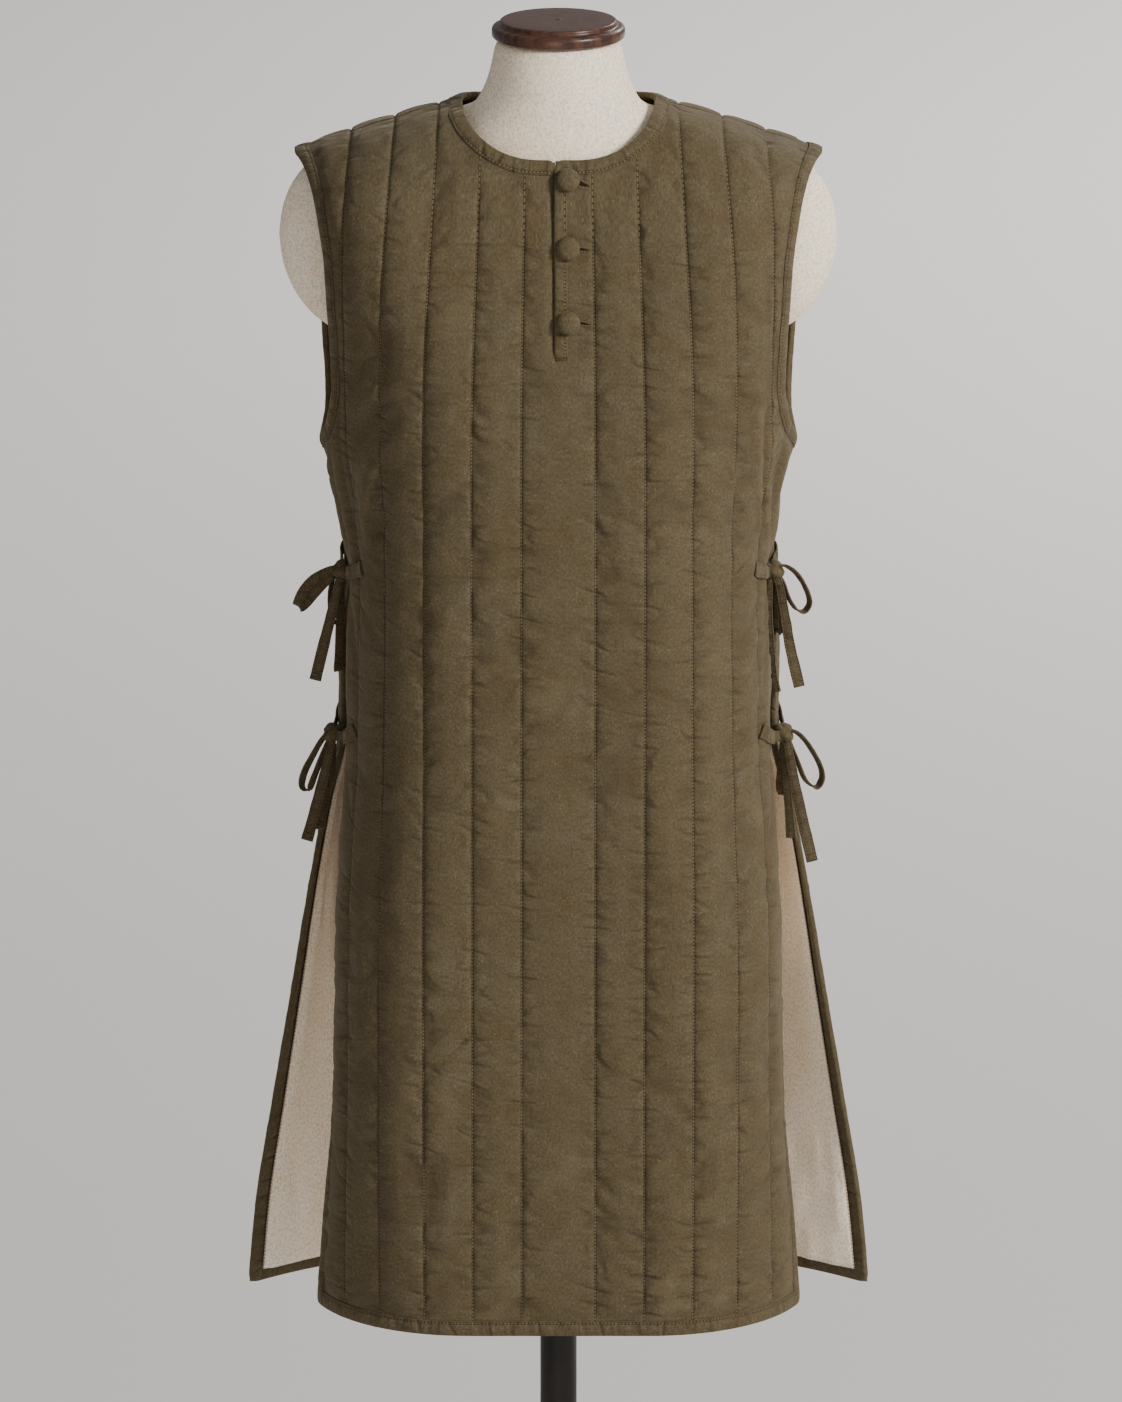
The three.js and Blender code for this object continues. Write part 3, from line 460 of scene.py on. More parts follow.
def relief(panel, s, level):
    """Height of the cloth over its surface, and how much of it is a crease, for wear on the crests and
    painted shade in the troughs.
    """
    s, level = arrays(s, level)
    to_line, width, number = channel(panel, s, level)
    share = np.clip(to_line / width, 0, 0.5)
    puff = PUFF * (1 - (1 - 2 * share) ** 2.7) * np.clip(width / 26, 0.25, 1)
    from_neck = 80 * (neck_ratio(surface_point(panel, s, level)) - 1)
    free = np.minimum(armhole_distance(panel, s, level), from_neck)
    fade = smoothstep(np.minimum(free, np.maximum(level - HEM, 0)), 9.5, 24)
    seam_pinch = 0.3 + 0.7 * smoothstep(RIDGE - level, 0, 34)
    side = np.where(number == 0, 1, np.sign(s)) * (number + 2) + 10 * panel["side"]
    marks = [0, *STITCH_LINES, 260]
    nearest = np.maximum(np.round(np.interp(np.abs(s), marks, range(len(marks)))), 1)
    line = nearest * 3.7 + np.where(s < 0, 50.5, 0) + 100 * (panel["side"] > 0)
    along = level + 1.1 * noise(level / 70, line + 0.3, 1) * to_line
    lively = 0.75 + 0.35 * smoothstep(1420 - level, 0, 260)
    lively = lively * (0.75 + 0.5 * noise(s / 90, level / 150, 2))
    tucks = np.exp(-((noise(along / TUCK_SPACING, line + side * 0.05, 3) / TUCK_WIDTH) ** 2))
    deep = 0.45 + 0.9 * smoothstep(noise(level / 60, line + side, 10), -0.5, 0.7)
    beside = np.exp(-to_line / TUCK_REACH) * (1 - 0.8 * np.exp(-((to_line / 2.6) ** 2)))
    pucker = 0.45 * noise(along / 7, line, 4) * np.exp(-to_line / 5) - TUCK_DEPTH * deep * tucks * beside
    drift = 1.2 * noise((level + 0.8 * np.abs(s)) / 34, side * 3.1 + s / 70, 5)
    drift += 0.75 * noise((level - 0.5 * s) / 15, side * 5.3 + s / 30, 6)
    drift *= 1 - np.exp(-to_line / 8)
    folds = lively * (pucker + drift) + crease_relief(panel, s, level)
    groove = -1.3 * np.exp(-((to_line / 1.3) ** 2))
    height = fade * seam_pinch * puff + (0.25 + 0.75 * fade) * folds + fade * groove
    height = np.maximum(height, LOWEST)
    if panel is FRONT:
        above = smoothstep(level, SLIT_FOOT - 10, SLIT_FOOT + 4)
        facing = above * (s > SLIT_S) * (s < 31.6) * (1 - smoothstep(s, 29, 31.6))
        height = height * (1 - facing) + facing * (0.5 + 0.35 * drift + 0.5 * groove)
        tucked = smoothstep(level, SLIT_FOOT - 2, SLIT_FOOT + 10) * (s <= SLIT_S)
        height = height - tucked * 2.6 * np.exp(-(((s - SLIT_S) / 5) ** 2))
    return height, folds


print("relief at the middle of a channel:", round(float(relief(FRONT, 95, 1000)[0]), 2), "mm")

# %% [markdown]
# ## Mesh helpers
# A wall has a fine outer grid and a coarser inner one. A tube is a row of rings.

# %%


def grid_faces(rows, columns, closed=False):
    """Quads of a grid of points; closed joins the last column to the first."""
    j = np.arange(rows - 1)[:, None] * columns
    i = np.arange(columns if closed else columns - 1)[None, :]
    k = (i + 1) % columns
    return np.stack([j + i, j + k, j + columns + k, j + columns + i], -1).reshape(-1, 4).tolist()


def tube_faces(rows, columns, closed):
    """Quads round a tube. Its ends are capped, or joined where it is closed."""
    faces = grid_faces(rows, columns, closed=True)
    last = (rows - 1) * columns
    if closed:
        return faces + [[last + i, last + (i + 1) % columns, (i + 1) % columns, i] for i in range(columns)]
    return [*faces, list(range(columns))[::-1], list(range(last, last + columns))]


def layers(shape, **values):
    """Point values for the materials: three numbers or arrays under each name."""
    return {
        key: np.stack([np.broadcast_to(value, shape) for value in three], -1)
        for key, three in values.items()
    }


def make_piece(name, points, faces, values=None, flip=False):
    """A smooth mesh object from points in millimetres."""
    if flip:
        faces = [face[::-1] for face in faces]
    mesh = bpy.data.meshes.new(name)
    mesh.from_pydata((np.reshape(points, (-1, 3)) * MM).tolist(), [], faces)
    for key, vectors in (values or {}).items():
        layer = mesh.attributes.new(key, "FLOAT_VECTOR", "POINT")
        layer.data.foreach_set("vector", np.asarray(vectors, np.float32).ravel())
    mesh.polygons.foreach_set("use_smooth", np.ones(len(mesh.polygons), bool))
    mesh.update()
    piece = bpy.data.objects.new(name, mesh)
    bpy.context.scene.collection.objects.link(piece)
    return piece


def wall_piece(name, outer, inner, values, rows=(), columns=(), present=None, flip=False):
    """A wall whose inner side takes only some rows and columns. present says which cells are there."""
    height, width = outer.shape[:2]
    rows = sorted(rows or range(height))
    columns = sorted(columns or range(width))
    if present is None:
        present = np.ones((height - 1, width - 1), bool)
    faces = np.array(grid_faces(height, width))[present.ravel()].tolist()
    pick = np.ix_(rows, columns)

    def out(j, i):
        return j * width + i

    def into(j, i):
        return height * width + j * len(columns) + i

    def there(j, i):
        inside = 0 <= j < len(rows) - 1 and 0 <= i < len(columns) - 1
        return inside and present[rows[j], columns[i]]

    def both(fine, coarse):
        return np.concatenate([fine.reshape(-1, 3), coarse[pick].reshape(-1, 3)])

    for j, (r0, r1) in enumerate(zip(rows, rows[1:])):
        for i, (c0, c1) in enumerate(zip(columns, columns[1:])):
            if not there(j, i):
                continue
            a, b, c, d = into(j, i), into(j, i + 1), into(j + 1, i + 1), into(j + 1, i)
            faces.append([a, d, c, b])
            if not there(j - 1, i):
                faces.append([out(r0, k) for k in range(c1, c0 - 1, -1)] + [a, b])
            if not there(j, i + 1):
                faces.append([out(k, c1) for k in range(r1, r0 - 1, -1)] + [b, c])
            if not there(j + 1, i):
                faces.append([out(r1, k) for k in range(c0, c1 + 1)] + [c, d])
            if not there(j, i - 1):
                faces.append([out(k, c0) for k in range(r0, r1 + 1)] + [d, a])
    values = {key: both(value, value) for key, value in values.items()}
    return make_piece(name, both(outer, inner), faces, values, flip)


def tube_piece(name, tubes, closed=False):
    """One mesh from tubes, each a grid of ring points with its point values."""
    points, faces, values = [], [], {}
    start = 0
    for rings, tube_values in tubes:
        faces += [[start + i for i in face] for face in tube_faces(*rings.shape[:2], closed)]
        points.append(rings.reshape(-1, 3))
        start += len(points[-1])
        for key, value in tube_values.items():
            values.setdefault(key, []).append(value.reshape(-1, 3))
    values = {key: np.concatenate(parts) for key, parts in values.items()}
    return make_piece(name, np.concatenate(points), faces, values)


def area_of(piece):
    """Surface area of a piece in square metres."""
    return sum(polygon.area for polygon in piece.data.polygons)


def report(*pieces):
    for piece in pieces:
        print(piece.name, len(piece.data.polygons), "faces,", round(area_of(piece), 3), "m2")


# %% [markdown]
# ## Quilted panels

# %%
CELL = 3.2
LINE_STEPS = [1.1, 2.4]
SIDE_COLUMNS = 12
EDGE_COLUMNS = 4
YOKE_ROWS = 44
INNER_STEP = 5


def half_columns():
    near, next_to = LINE_STEPS
    columns = [0.0]
    for start, end in zip([0.0, *STITCH_LINES], STITCH_LINES):
        if start:
            columns.append(start + near)
            start += next_to
        columns += [*spread(start, end - next_to, CELL), end - near, end]
    return np.unique(columns)


def side_s(panel, level):
    """The columns beyond the last stitch line, which follow the panel's edge."""
    edge = panel_edge(panel, level)
    slant = np.where(level > ARMPIT, armhole_edge(panel, level + 1) - armhole_edge(panel, level), 0)
    bound = np.maximum(edge - BIND_WIDTH * np.minimum(np.hypot(1, slant), 1.4), LAST_LINE + 3)
    shares = np.linspace(0, 1, SIDE_COLUMNS + 1)[1:] ** 1.15
    inner = LAST_LINE + (bound - LAST_LINE)[:, None] * shares
    outer = bound[:, None] + (edge - bound)[:, None] * np.linspace(0, 1, EDGE_COLUMNS + 1)[1:]
    return np.hstack([inner, outer])


def panel_grid(panel):
    half = half_columns()
    slit = [SLIT_S - SEAM, SLIT_S + SEAM] if panel is FRONT else []
    fixed = np.unique(np.concatenate([-half, slit, half]))
    marks = [HEM, HEM + BIND_WIDTH, SLIT_TOP, ARMPIT, SLIT_FOOT, YOKE]
    levels = [spread(a, b, CELL)[:-1] for a, b in zip(marks[:-1], marks[1:])]
    body = np.concatenate([*levels, [YOKE]])
    shares = np.linspace(0, 1, YOKE_ROWS + 1)[1:]
    middle_level = np.concatenate([body, YOKE + shares * (RIDGE - SEAM_LEVEL - YOKE)])
    sides = side_s(panel, middle_level)
    s = np.hstack([-sides[:, ::-1], np.tile(fixed, (len(middle_level), 1)), sides])
    level = np.tile(middle_level[:, None], (1, s.shape[1]))
    yoke = len(body)
    tops = top_level(panel, s[-1])
    level[yoke:] = YOKE + shares[:, None] * (tops[None, :] - YOKE)
    return s, level


def quilted_panel(name, panel):
    s, level = panel_grid(panel)
    height, folds = relief(panel, s, level)
    square = np.zeros(s.shape)
    square[:, [0, -1]] = closed_seam(level[:, [0, -1]])
    outer = offset_point(panel, s, level, height, square)
    inner = offset_point(panel, s, level, np.minimum(height - 0.6, -WALL), square)
    present = np.ones((s.shape[0] - 1, s.shape[1] - 1), bool)
    rows, columns = ({*range(0, size, INNER_STEP), size - 1} for size in s.shape)
    if panel is FRONT:
        gap = int(np.argmin(np.abs(s[0] - (SLIT_S - SEAM))))
        foot = int(np.argmin(np.abs(level[:, 0] - SLIT_FOOT)))
        present[foot:, gap] = False
        rows |= {foot}
        columns |= {gap, gap + 1}
    to_line, width, _ = channel(panel, s, level)
    shift = 1000 if panel is BACK else 0
    values = layers(
        s.shape, cloth=(s + shift, level, 0), seam=(to_line, level, 1), relief=(folds, height, width),
    )
    return wall_piece(name, outer, inner, values, rows, columns, present, panel is BACK)


front_panel = quilted_panel("quilted_front", FRONT)
back_panel = quilted_panel("quilted_back", BACK)
report(front_panel, back_panel)

# %% [markdown]
# ## Linings
# Plain natural cotton inside the skirt, a little slack between the stitch lines.

# %%
LINING_DEPTH = WALL + 2.5
LINING_THICK = 0.6
LINING_SLACK = 1.2
LINING_TOP = 1163
LINING_CELL = 4.0
LINING_COLUMNS = 130


def lining(name, panel):
    levels = spread(HEM + BIND_WIDTH - 2, LINING_TOP, LINING_CELL)[:, None]
    edge = panel_edge(panel, levels) - BIND_WIDTH + 2
    s, level = arrays(edge * np.linspace(-1, 1, LINING_COLUMNS), levels)
    to_line, _, number = channel(panel, s, level)
    slack = -3.0 * (1 - np.exp(-((to_line / 6) ** 2)))
    slack += 1.6 * noise(s / 12, level / 45, 31)
    slack += 1.8 * noise(s / 40 + number, level / 17, 32) * np.exp(-to_line / 12)
    slack *= smoothstep(edge - np.abs(s), 0, 8)
    height = np.minimum(slack, LINING_SLACK) - LINING_DEPTH
    face, back = (offset_point(panel, s, level, height - deep) for deep in (0, LINING_THICK))
    values = layers(s.shape, cloth=(s, level, 0), seam=(to_line, level, 1))
    return wall_piece(name, face, back, values, flip=panel is BACK)


front_lining = lining("lining_front", FRONT)
back_lining = lining("lining_back", BACK)
report(front_lining, back_lining)

# %% [markdown]
# ## Bindings
# A folded band of the same cloth round each edge. Its section is soft: it lies on the cloth at the
# stitch line, swells to the fold and turns under.

# %%
BIND_CELL = 2.6
BIND_CLOTH = 0.9
BIND_GAP = 0.3
TOPSTITCH = 10.2
FOLD = 1.5
# way in from the edge, share of the way round from the outside to the inside, and swell
BIND_OUTSIDE = [
    (12.2, -0.75), (11.7, -0.15), (10.9, 0.0), (10.2, -0.45), (9.4, 0.05), (7.6, 0.4), (5.4, 0.55),
    (3.2, 0.45), (1.4, 0.2), (0.2, 0.0),
]
FOLD_TURNS = 5
BIND_UNDER = [0.6, 4.0, 8.0, 11.8]
NECK_CORNER = 6.5


def stations(panel, s, level, into_s, into_level, trim=0):
    """Places along an edge, the way in across the cloth at each, and how far a corner draws in."""
    return (panel, *arrays(s, level, into_s, into_level, trim))


def reverse(run):
    return (run[0], *(row[::-1] for row in run[1:]))


def band_section(run, seed, along):
    """Points of one stretch of a binding, stations by section points, and their way to its stitches."""
    panel, s, level, into_s, into_level, trim = run
    wobble = 0.8 * noise(along / 11, seed, 7) + 0.5 * noise(along / 4.5, seed, 8)
    wander = 0.35 * noise(along / 30, seed, 9)
    columns, seams = [], []

    def cloth_height(inside):
        return relief(panel, s + into_s * inside, level + into_level * inside)[0]

    def push(inside, height):
        way = inside + trim * np.clip(1 - inside / BIND_WIDTH, 0, 1)
        columns.append(offset_point(panel, s + into_s * way, level + into_level * way, height))
        seams.append(np.abs(inside - TOPSTITCH) + 0.0 * s)

    base = cloth_height(10.0)
    under_band = {}
    for inside, _ in BIND_OUTSIDE:
        under_band[inside] = cloth_height(inside) if inside > 6 else base * inside / 10
    lift = BIND_GAP + BIND_CLOTH
    for inside, swell in BIND_OUTSIDE:
        soft = wobble * min(1.0, abs(swell) + 0.25) * (swell > -0.3)
        push(inside + wander * (inside > 2), under_band[inside] + lift + swell + soft)
    top = base * 0.02 + lift + wobble * 0.25
    under = -WALL - lift
    middle, half = (top + under) / 2, (top - under) / 2
    for k in range(1, FOLD_TURNS + 1):
        angle = math.pi * k / (FOLD_TURNS + 1)
        push(-FOLD * math.sin(angle) + 0.25 * wander.mean(), middle + half * math.cos(angle))
    for inside in BIND_UNDER:
        push(inside, under)
    for inside in reversed(BIND_UNDER):
        push(inside, under + BIND_CLOTH * 0.6)
    push(-0.2, middle)
    for inside, _ in reversed(BIND_OUTSIDE[::2]):
        push(inside, under_band[inside] + BIND_GAP * 0.6)
    return np.stack(columns, 1), np.stack(seams, 1)


def band(name, runs, seed, closed=False):
    along = 0.0
    points, seams, ways = [], [], []
    for run in runs:
        way = along + way_along(surface_point(*run[:3]))
        along = way[-1] + 2.0
        section, seam = band_section(run, seed, way)
        points.append(section)
        seams.append(seam)
        ways.append(np.repeat(way[:, None], section.shape[1], 1))
    points, seams, ways = (np.concatenate(rows) for rows in (points, seams, ways))
    across = np.arange(points.shape[1]) * 1.6 + 400 * seed
    values = layers(ways.shape, cloth=(across, ways, 0), seam=(seams, ways, 1), relief=(0, 0, 20))
    piece = tube_piece(name, [(points, values)], closed)
    volume = sum(Vector(p.center).dot(p.normal) * p.area for p in piece.data.polygons)
    if volume < 0:
        piece.data.flip_normals()
    return piece


def edge_band(name, panel, seed):
    """Down one slit edge, along the hem and up the other, with a mitre at each corner."""
    mitre = BIND_WIDTH + 0.4
    down = spread(HEM + mitre, SLIT_TOP - SEAM, BIND_CELL)[::-1]
    turn = np.linspace(0, 1, 5)[1:]
    rest = 1 - turn
    fan = HEM + mitre * rest
    corner = float(panel_edge(panel, np.array(float(HEM))))
    runs = {}
    for sign in (-1, 1):
        runs[sign] = [
            stations(panel, sign * panel_edge(panel, down), down, -sign, 0),
            stations(panel, sign * panel_edge(panel, fan), fan, -sign, turn, 2.4 * turn**3),
            stations(panel, sign * (corner - mitre * turn), HEM, -sign * rest, 1, 2.4 * rest**3),
        ]
    hem = spread(-corner + mitre, corner - mitre, BIND_CELL)[1:-1]
    middle = stations(panel, hem, HEM, 0, 1)
    return band(name, [*runs[-1], middle, *map(reverse, reversed(runs[1]))], seed)


def armhole_run(panel, sign, levels):
    slant = (armhole_edge(panel, levels + 1) - armhole_edge(panel, levels - 1)) / 2
    angle = np.arctan2(slant, -1.0)
    angle = np.where(angle > 0, angle - 2 * math.pi, angle)
    low = 1 - smoothstep(levels, ARMPIT, ARMPIT + 14)
    angle = angle + (-math.pi / 2 - angle) * low
    return stations(panel, sign * armhole_edge(panel, levels), levels, sign * np.cos(angle), np.sin(angle))


def armhole_band(name, sign, seed):
    levels = np.concatenate([spread(ARMPIT, 1310, 1.6)[:-1], spread(1310, RIDGE, 2.4)])
    up = armhole_run(FRONT, sign, levels)
    down = armhole_run(BACK, sign, levels[::-1][1:])
    return band(name, [up, down], seed, closed=True)


def neck_run(panel, s, trim=0):
    level = np.where(np.abs(s) < NECK_S, top_level(panel, s), RIDGE)
    deep, power = (NECK_FRONT, NECK_POWER) if panel is FRONT else (NECK_BACK, 2)
    ways = surface_point(panel, s, level)[:, :2] - (0, RIDGE_Y)
    out = unit(np.sign(ways) * np.abs(ways) ** (power - 1) / np.array([NECK_WIDTH, deep], float) ** power)
    across, up = slopes(panel, s, level)

    def cross(a, b):
        return a[:, 0] * b[:, 1] - a[:, 1] * b[:, 0]

    into_s = cross(out, up) / cross(across, up)
    into_level = cross(across, out) / cross(across, up)
    length = np.linalg.norm(across * into_s[:, None] + up * into_level[:, None], axis=1)
    return stations(panel, s, level, into_s / length, into_level / length, trim)


def neck_band(name, seed):
    """From the slit round the neck and back, with a rounded corner at both ends."""

    def rounded(s, start):
        way = np.clip(NECK_CORNER - np.abs(s - start), 0, NECK_CORNER)
        return neck_run(FRONT, s, NECK_CORNER - np.sqrt(NECK_CORNER**2 - way**2))

    near = np.array([0.0, 0.6, 1.4, 2.4, 3.6, 5.2])
    right_start, left_start = SLIT_S + 0.4, SLIT_S - 0.4
    right = np.concatenate([right_start + near, spread(5.0, NECK_S, 2.3)])
    left = np.concatenate([left_start - near, -spread(10.6, NECK_S, 2.3)])[::-1]
    back = spread(-NECK_S, NECK_S, 2.3)[1:-1][::-1]
    runs = [rounded(right, right_start), neck_run(BACK, back), rounded(left, left_start)]
    return band(name, runs, seed)


front_band = edge_band("edge_binding_front", FRONT, 1)
back_band = edge_band("edge_binding_back", BACK, 2)
left_band = armhole_band("armhole_binding_l", -1, 3)
right_band = armhole_band("armhole_binding_r", 1, 4)
neck_piece = neck_band("neck_binding_piece", 5)
report(front_band, back_band, left_band, right_band, neck_piece)

# %% [markdown]
# ## Placket, buttonholes and buttons

# %%
PLACKET_COLUMNS = [
    (-3.2, 0.2), (-3.75, 0.8), (-3.9, 1.6), (-3.5, 2.4), (-2.4, 2.9), (-0.4, 2.95), (2.0, 2.75), (4.2, 2.5),
    (5.2, 2.1), (5.8, 1.65), (6.4, 1.95), (7.4, 1.75), (7.9, 1.1), (8.0, 0.45),
]
PLACKET_STITCH = 5.8
BAR_LEVEL = SLIT_FOOT + 1.6
BUTTON_SEAT = 3.3
# share of the radius, height over the seat
BUTTON_PROFILE = np.array([
    (0.02, 0), (0.5, 0.1), (0.76, 0.5), (0.9, 1.2), (0.98, 2.2), (1.0, 3.2), (0.975, 4.2), (0.9, 5.3),
    (0.78, 6.3), (0.62, 7.1), (0.44, 7.65), (0.24, 7.95), (0.1, 8.05), (0.02, 8.07),
])
HOLE_START = 18.2
HOLE_LENGTH = 11.0
HOLE_HALF = 1.7
HOLE_WHIPS = 23


def placket_piece(name):
    levels = spread(SLIT_FOOT - 1.2, NECKLINE - 9.5, 2.0)
    columns, height = np.array(PLACKET_COLUMNS).T
    s, level = np.meshgrid(columns, levels)
    under = np.clip(relief(FRONT, np.maximum(s, SLIT_S + 0.2), level)[0], -1, 2)
    low = smoothstep(level, SLIT_FOOT - 1.5, SLIT_FOOT + 1)
    wave = 0.22 * noise(level / 13, s / 9, 21) + 0.12 * noise(level / 5, s / 4, 22)
    bar = np.exp(-(((level - BAR_LEVEL) / 0.9) ** 2))
    top = under + height * (0.35 + 0.65 * low) + wave * (height > 1) - 0.5 * bar
    edge = 0.5 * noise(level / 40, 3.3, 23) * (s < 0)
    outer = offset_point(FRONT, s + edge, level, top)
    inner = offset_point(FRONT, np.clip(s, -2.9, 7.2), level, under + 0.12)
    to_side, to_bar = np.abs(s - PLACKET_STITCH), np.abs(level - BAR_LEVEL)
    along = np.where(to_bar < to_side, s, level)
    seam = (np.minimum(to_side, to_bar), along, 1.6)
    values = layers(s.shape, cloth=(s + 2300, level, 0), seam=seam, relief=(0, 0, 20))
    return wall_piece(name, outer, inner, values)


def level_at_height(height):
    def past(level):
        return surface_point(FRONT, BUTTON_S, level)[2] > height

    return find_level(np.array(BUTTON_S), SLIT_FOOT, past)


def button_piece(name, height, seed):
    """A covered button: cloth drawn over a dome and gathered under its rim."""
    level = level_at_height(height)
    normal = surface_normal(FRONT, BUTTON_S, level)
    side = unit(np.cross((0, 0, 1.0), normal))
    up = np.cross(normal, side)
    angle = circle(48)
    share, rise = BUTTON_PROFILE.T[..., None]
    gathers = 0.16 * np.cos(17 * angle + seed) * np.exp(-(((rise - 1.2) / 1.4) ** 2))
    soft = 0.16 * noise(2.2 * np.cos(angle) + seed, rise / 3 + np.sin(angle), 24) * (share > 0.2)
    radius = share * BUTTON_RADIUS * 1.02 + gathers + soft
    out = BUTTON_SEAT + rise + 0.12 * noise(3 * np.cos(angle), 3 * np.sin(angle) + seed, 25)
    x, y = radius * np.cos(angle), radius * np.sin(angle)
    centre = surface_point(FRONT, BUTTON_S, level)
    rings = centre + x[..., None] * side + y[..., None] * up + out[..., None] * normal
    values = layers(x.shape, cloth=(x + 2600 + 40 * seed, y, 0), seam=(30, 0, 0), relief=(0, 0, 20))
    return tube_piece(name, [(rings, values)])


def buttonhole(name, height):
    """Whipped lips round a slit that closes towards its outer end."""
    turn, rounds = circle(64), circle(8)
    reach = HOLE_LENGTH / 2
    along = reach * (1 + np.cos(turn))
    half = HOLE_HALF * (1.25 - 0.75 * along / HOLE_LENGTH)
    centre_s = HOLE_START + along
    slope = level_at_height(height) - 0.6 - 0.12 * along
    centre_level = slope + half * np.sign(np.sin(turn)) * np.abs(np.sin(turn)) ** 0.45
    tangent_s, tangent_level = np.gradient(centre_s), np.gradient(centre_level)
    size = np.hypot(tangent_s, tangent_level)
    whip = np.sin(turn * HOLE_WHIPS)[:, None]
    out = (0.62 + 0.1 * whip) * np.cos(rounds)
    s = centre_s[:, None] + (tangent_level / size)[:, None] * out
    level = centre_level[:, None] - (tangent_s / size)[:, None] * out
    high = relief(FRONT, s, level)[0] + 0.25 + 0.55 * np.sin(rounds) * (1 + 0.15 * whip)
    stitch = turn[:, None] * HOLE_WHIPS / (2 * math.pi) * 3.0
    values = layers(s.shape, cloth=(s + 2900, level, 0), seam=(0.3, stitch, 2), relief=(0.6, 0, 20))
    lips = tube_piece(name, [(offset_point(FRONT, s, level, high), values)], closed=True)
    # A dark sheet in the slit is painted shadow for the opening.
    floor_s, floor_level = np.stack([centre_s, centre_s], 1), np.stack([centre_level, slope], 1)
    slit = offset_point(FRONT, floor_s, floor_level, relief(FRONT, floor_s, floor_level)[0] + 0.18)
    return lips, make_piece(name + "_slit", slit, grid_faces(len(turn), 2))


placket_strip = placket_piece("placket_strip")
buttons = [button_piece(f"covered_button_{i}", height, i) for i, height in enumerate(BUTTON_HEIGHTS, 1)]
holes = [buttonhole(f"buttonhole_{i}", height) for i, height in enumerate(BUTTON_HEIGHTS, 1)]
report(placket_strip, *buttons)

# %% [markdown]
# ## Ties
# Flat folded tapes. Each pair is knotted at the side in a bow with loops and hemmed tails.

# %%
TAPE_HALF_THICK = 0.95
TAPE_CELL = 1.8
TAB_RISE = 16
# across the half width, height over the tape's middle
TAPE_SECTION = [
    (-1.0, 0.25), (-0.93, 0.8), (-0.8, 0.95), (-0.68, 0.72), (-0.5, 1.0), (0.0, 1.08),
    (0.5, 1.0), (0.68, 0.72), (0.8, 0.95), (0.93, 0.8), (1.0, 0.25),
]


def curve_through(points, step):
    """A smooth curve through points, sampled evenly."""
    points = np.asarray(points, float)
    knots = np.concatenate([[points[0] * 2 - points[1]], points, [points[-1] * 2 - points[-2]]])
    t = np.linspace(0, 1, 17)[:-1, None]
    fine = []
    for a, b, c, d in zip(knots[:-3], knots[1:-2], knots[2:-1], knots[3:]):
        bend, twist = 2 * a - 5 * b + 4 * c - d, 3 * b - a - 3 * c + d
        fine.append(0.5 * (2 * b + (c - a) * t + bend * t**2 + twist * t**3))
    fine = np.concatenate([*fine, points[-1:]])
    way = way_along(fine)
    at = spread(0, way[-1], step)
    return np.stack([np.interp(at, way, fine[:, k]) for k in range(3)], 1), at


def evenly(share, stops):
    """Vectors or numbers that change evenly along a tape."""
    stops = np.asarray(stops, float).reshape(len(stops), -1)
    places = np.linspace(0, 1, len(stops))
    return np.stack([np.interp(share, places, column) for column in stops.T], 1)


def ribbon(points, across, widths, seed, hem=False):
    """A tape along points, and its length. across is the way of its width, which turns as it runs."""
    path, way = curve_through(points, TAPE_CELL)
    share = way / way[-1]
    along = unit(np.gradient(path, axis=0))
    wide = evenly(share, across)
    wide = unit(wide - along * np.sum(wide * along, axis=1, keepdims=True))
    face = np.cross(along, wide)
    half = evenly(share, widths) / 2 * (1 + 0.05 * noise(way / 9, seed, 41))[:, None]
    sway = 0.5 * noise(way / 16, seed + 3.3, 42)[:, None]
    thick = TAPE_HALF_THICK * (1 + 0.15 * noise(way / 5, seed + 7.7, 43))
    from_end = way[-1] - way
    if hem:
        thick = thick * (1 + 0.55 * smoothstep(7.5 - from_end, 0, 0.8)) * (1 - 0.25 * (from_end < 0.5))
    x, high = np.array(TAPE_SECTION + [(x, -high) for x, high in reversed(TAPE_SECTION)]).T
    lateral = half * x
    height = thick[:, None] * high + sway + 0.35 * x**2 * np.sin(seed)
    rings = path[:, None] + lateral[..., None] * wide[:, None] + height[..., None] * face[:, None]
    edge = np.abs(np.abs(x) - 0.68) * half
    if hem:
        edge = np.minimum(edge, np.abs(from_end[:, None] - 6.5))
    run = way[:, None]
    cloth = (lateral + 3200 + 30 * seed, run, 0)
    values = layers(edge.shape, cloth=cloth, seam=(edge, run, 0.55), relief=(0.6 * sway, 0, 20))
    return (rings, values), way[-1]


def ball(rows, columns, pole):
    """Rings of a unit ball. The first and last stay a little away from its poles."""
    polar = np.linspace(pole, math.pi - pole, rows)[:, None]
    turn = circle(columns)
    return np.stack(arrays(np.sin(polar) * np.cos(turn), np.sin(polar) * np.sin(turn), np.cos(polar)), -1)


def knot_piece(name, centre, radii, seed, tilt):
    """A small tight knot: a soft ball with the strand that wraps round it."""
    points = ball(26, 36, 0.04)
    x, y, z = np.moveaxis(points, -1, 0)
    wrap = x * math.sin(tilt) + z * math.cos(tilt)
    strand = np.exp(-((wrap / 0.4) ** 4)) - 0.8 * np.exp(-(((np.abs(wrap) - 0.54) / 0.09) ** 2))
    crease = 0.06 * noise(3 * x + seed, 3 * z + 2 * y, 44)
    rings = points * radii * (1 + 0.14 * strand + crease)[..., None] + centre
    # Lighter on the strand as wear, darker in the creases and at the strand's edges as painted shade.
    wear_and_shade = 8 * crease + 0.8 * (strand - 0.5)
    values = layers(x.shape, cloth=(x * 9 + 3900 + seed, z * 9, y * 9), seam=(30, 0, 0), relief=(wear_and_shade, 0, 20))
    return tube_piece(name, [(rings, values)])


KNOT_RADII = (8.2, 10.0, 8.6)
TAB_WIDTHS = [13, 12.6, 12, 11, 9.5, 7.5]
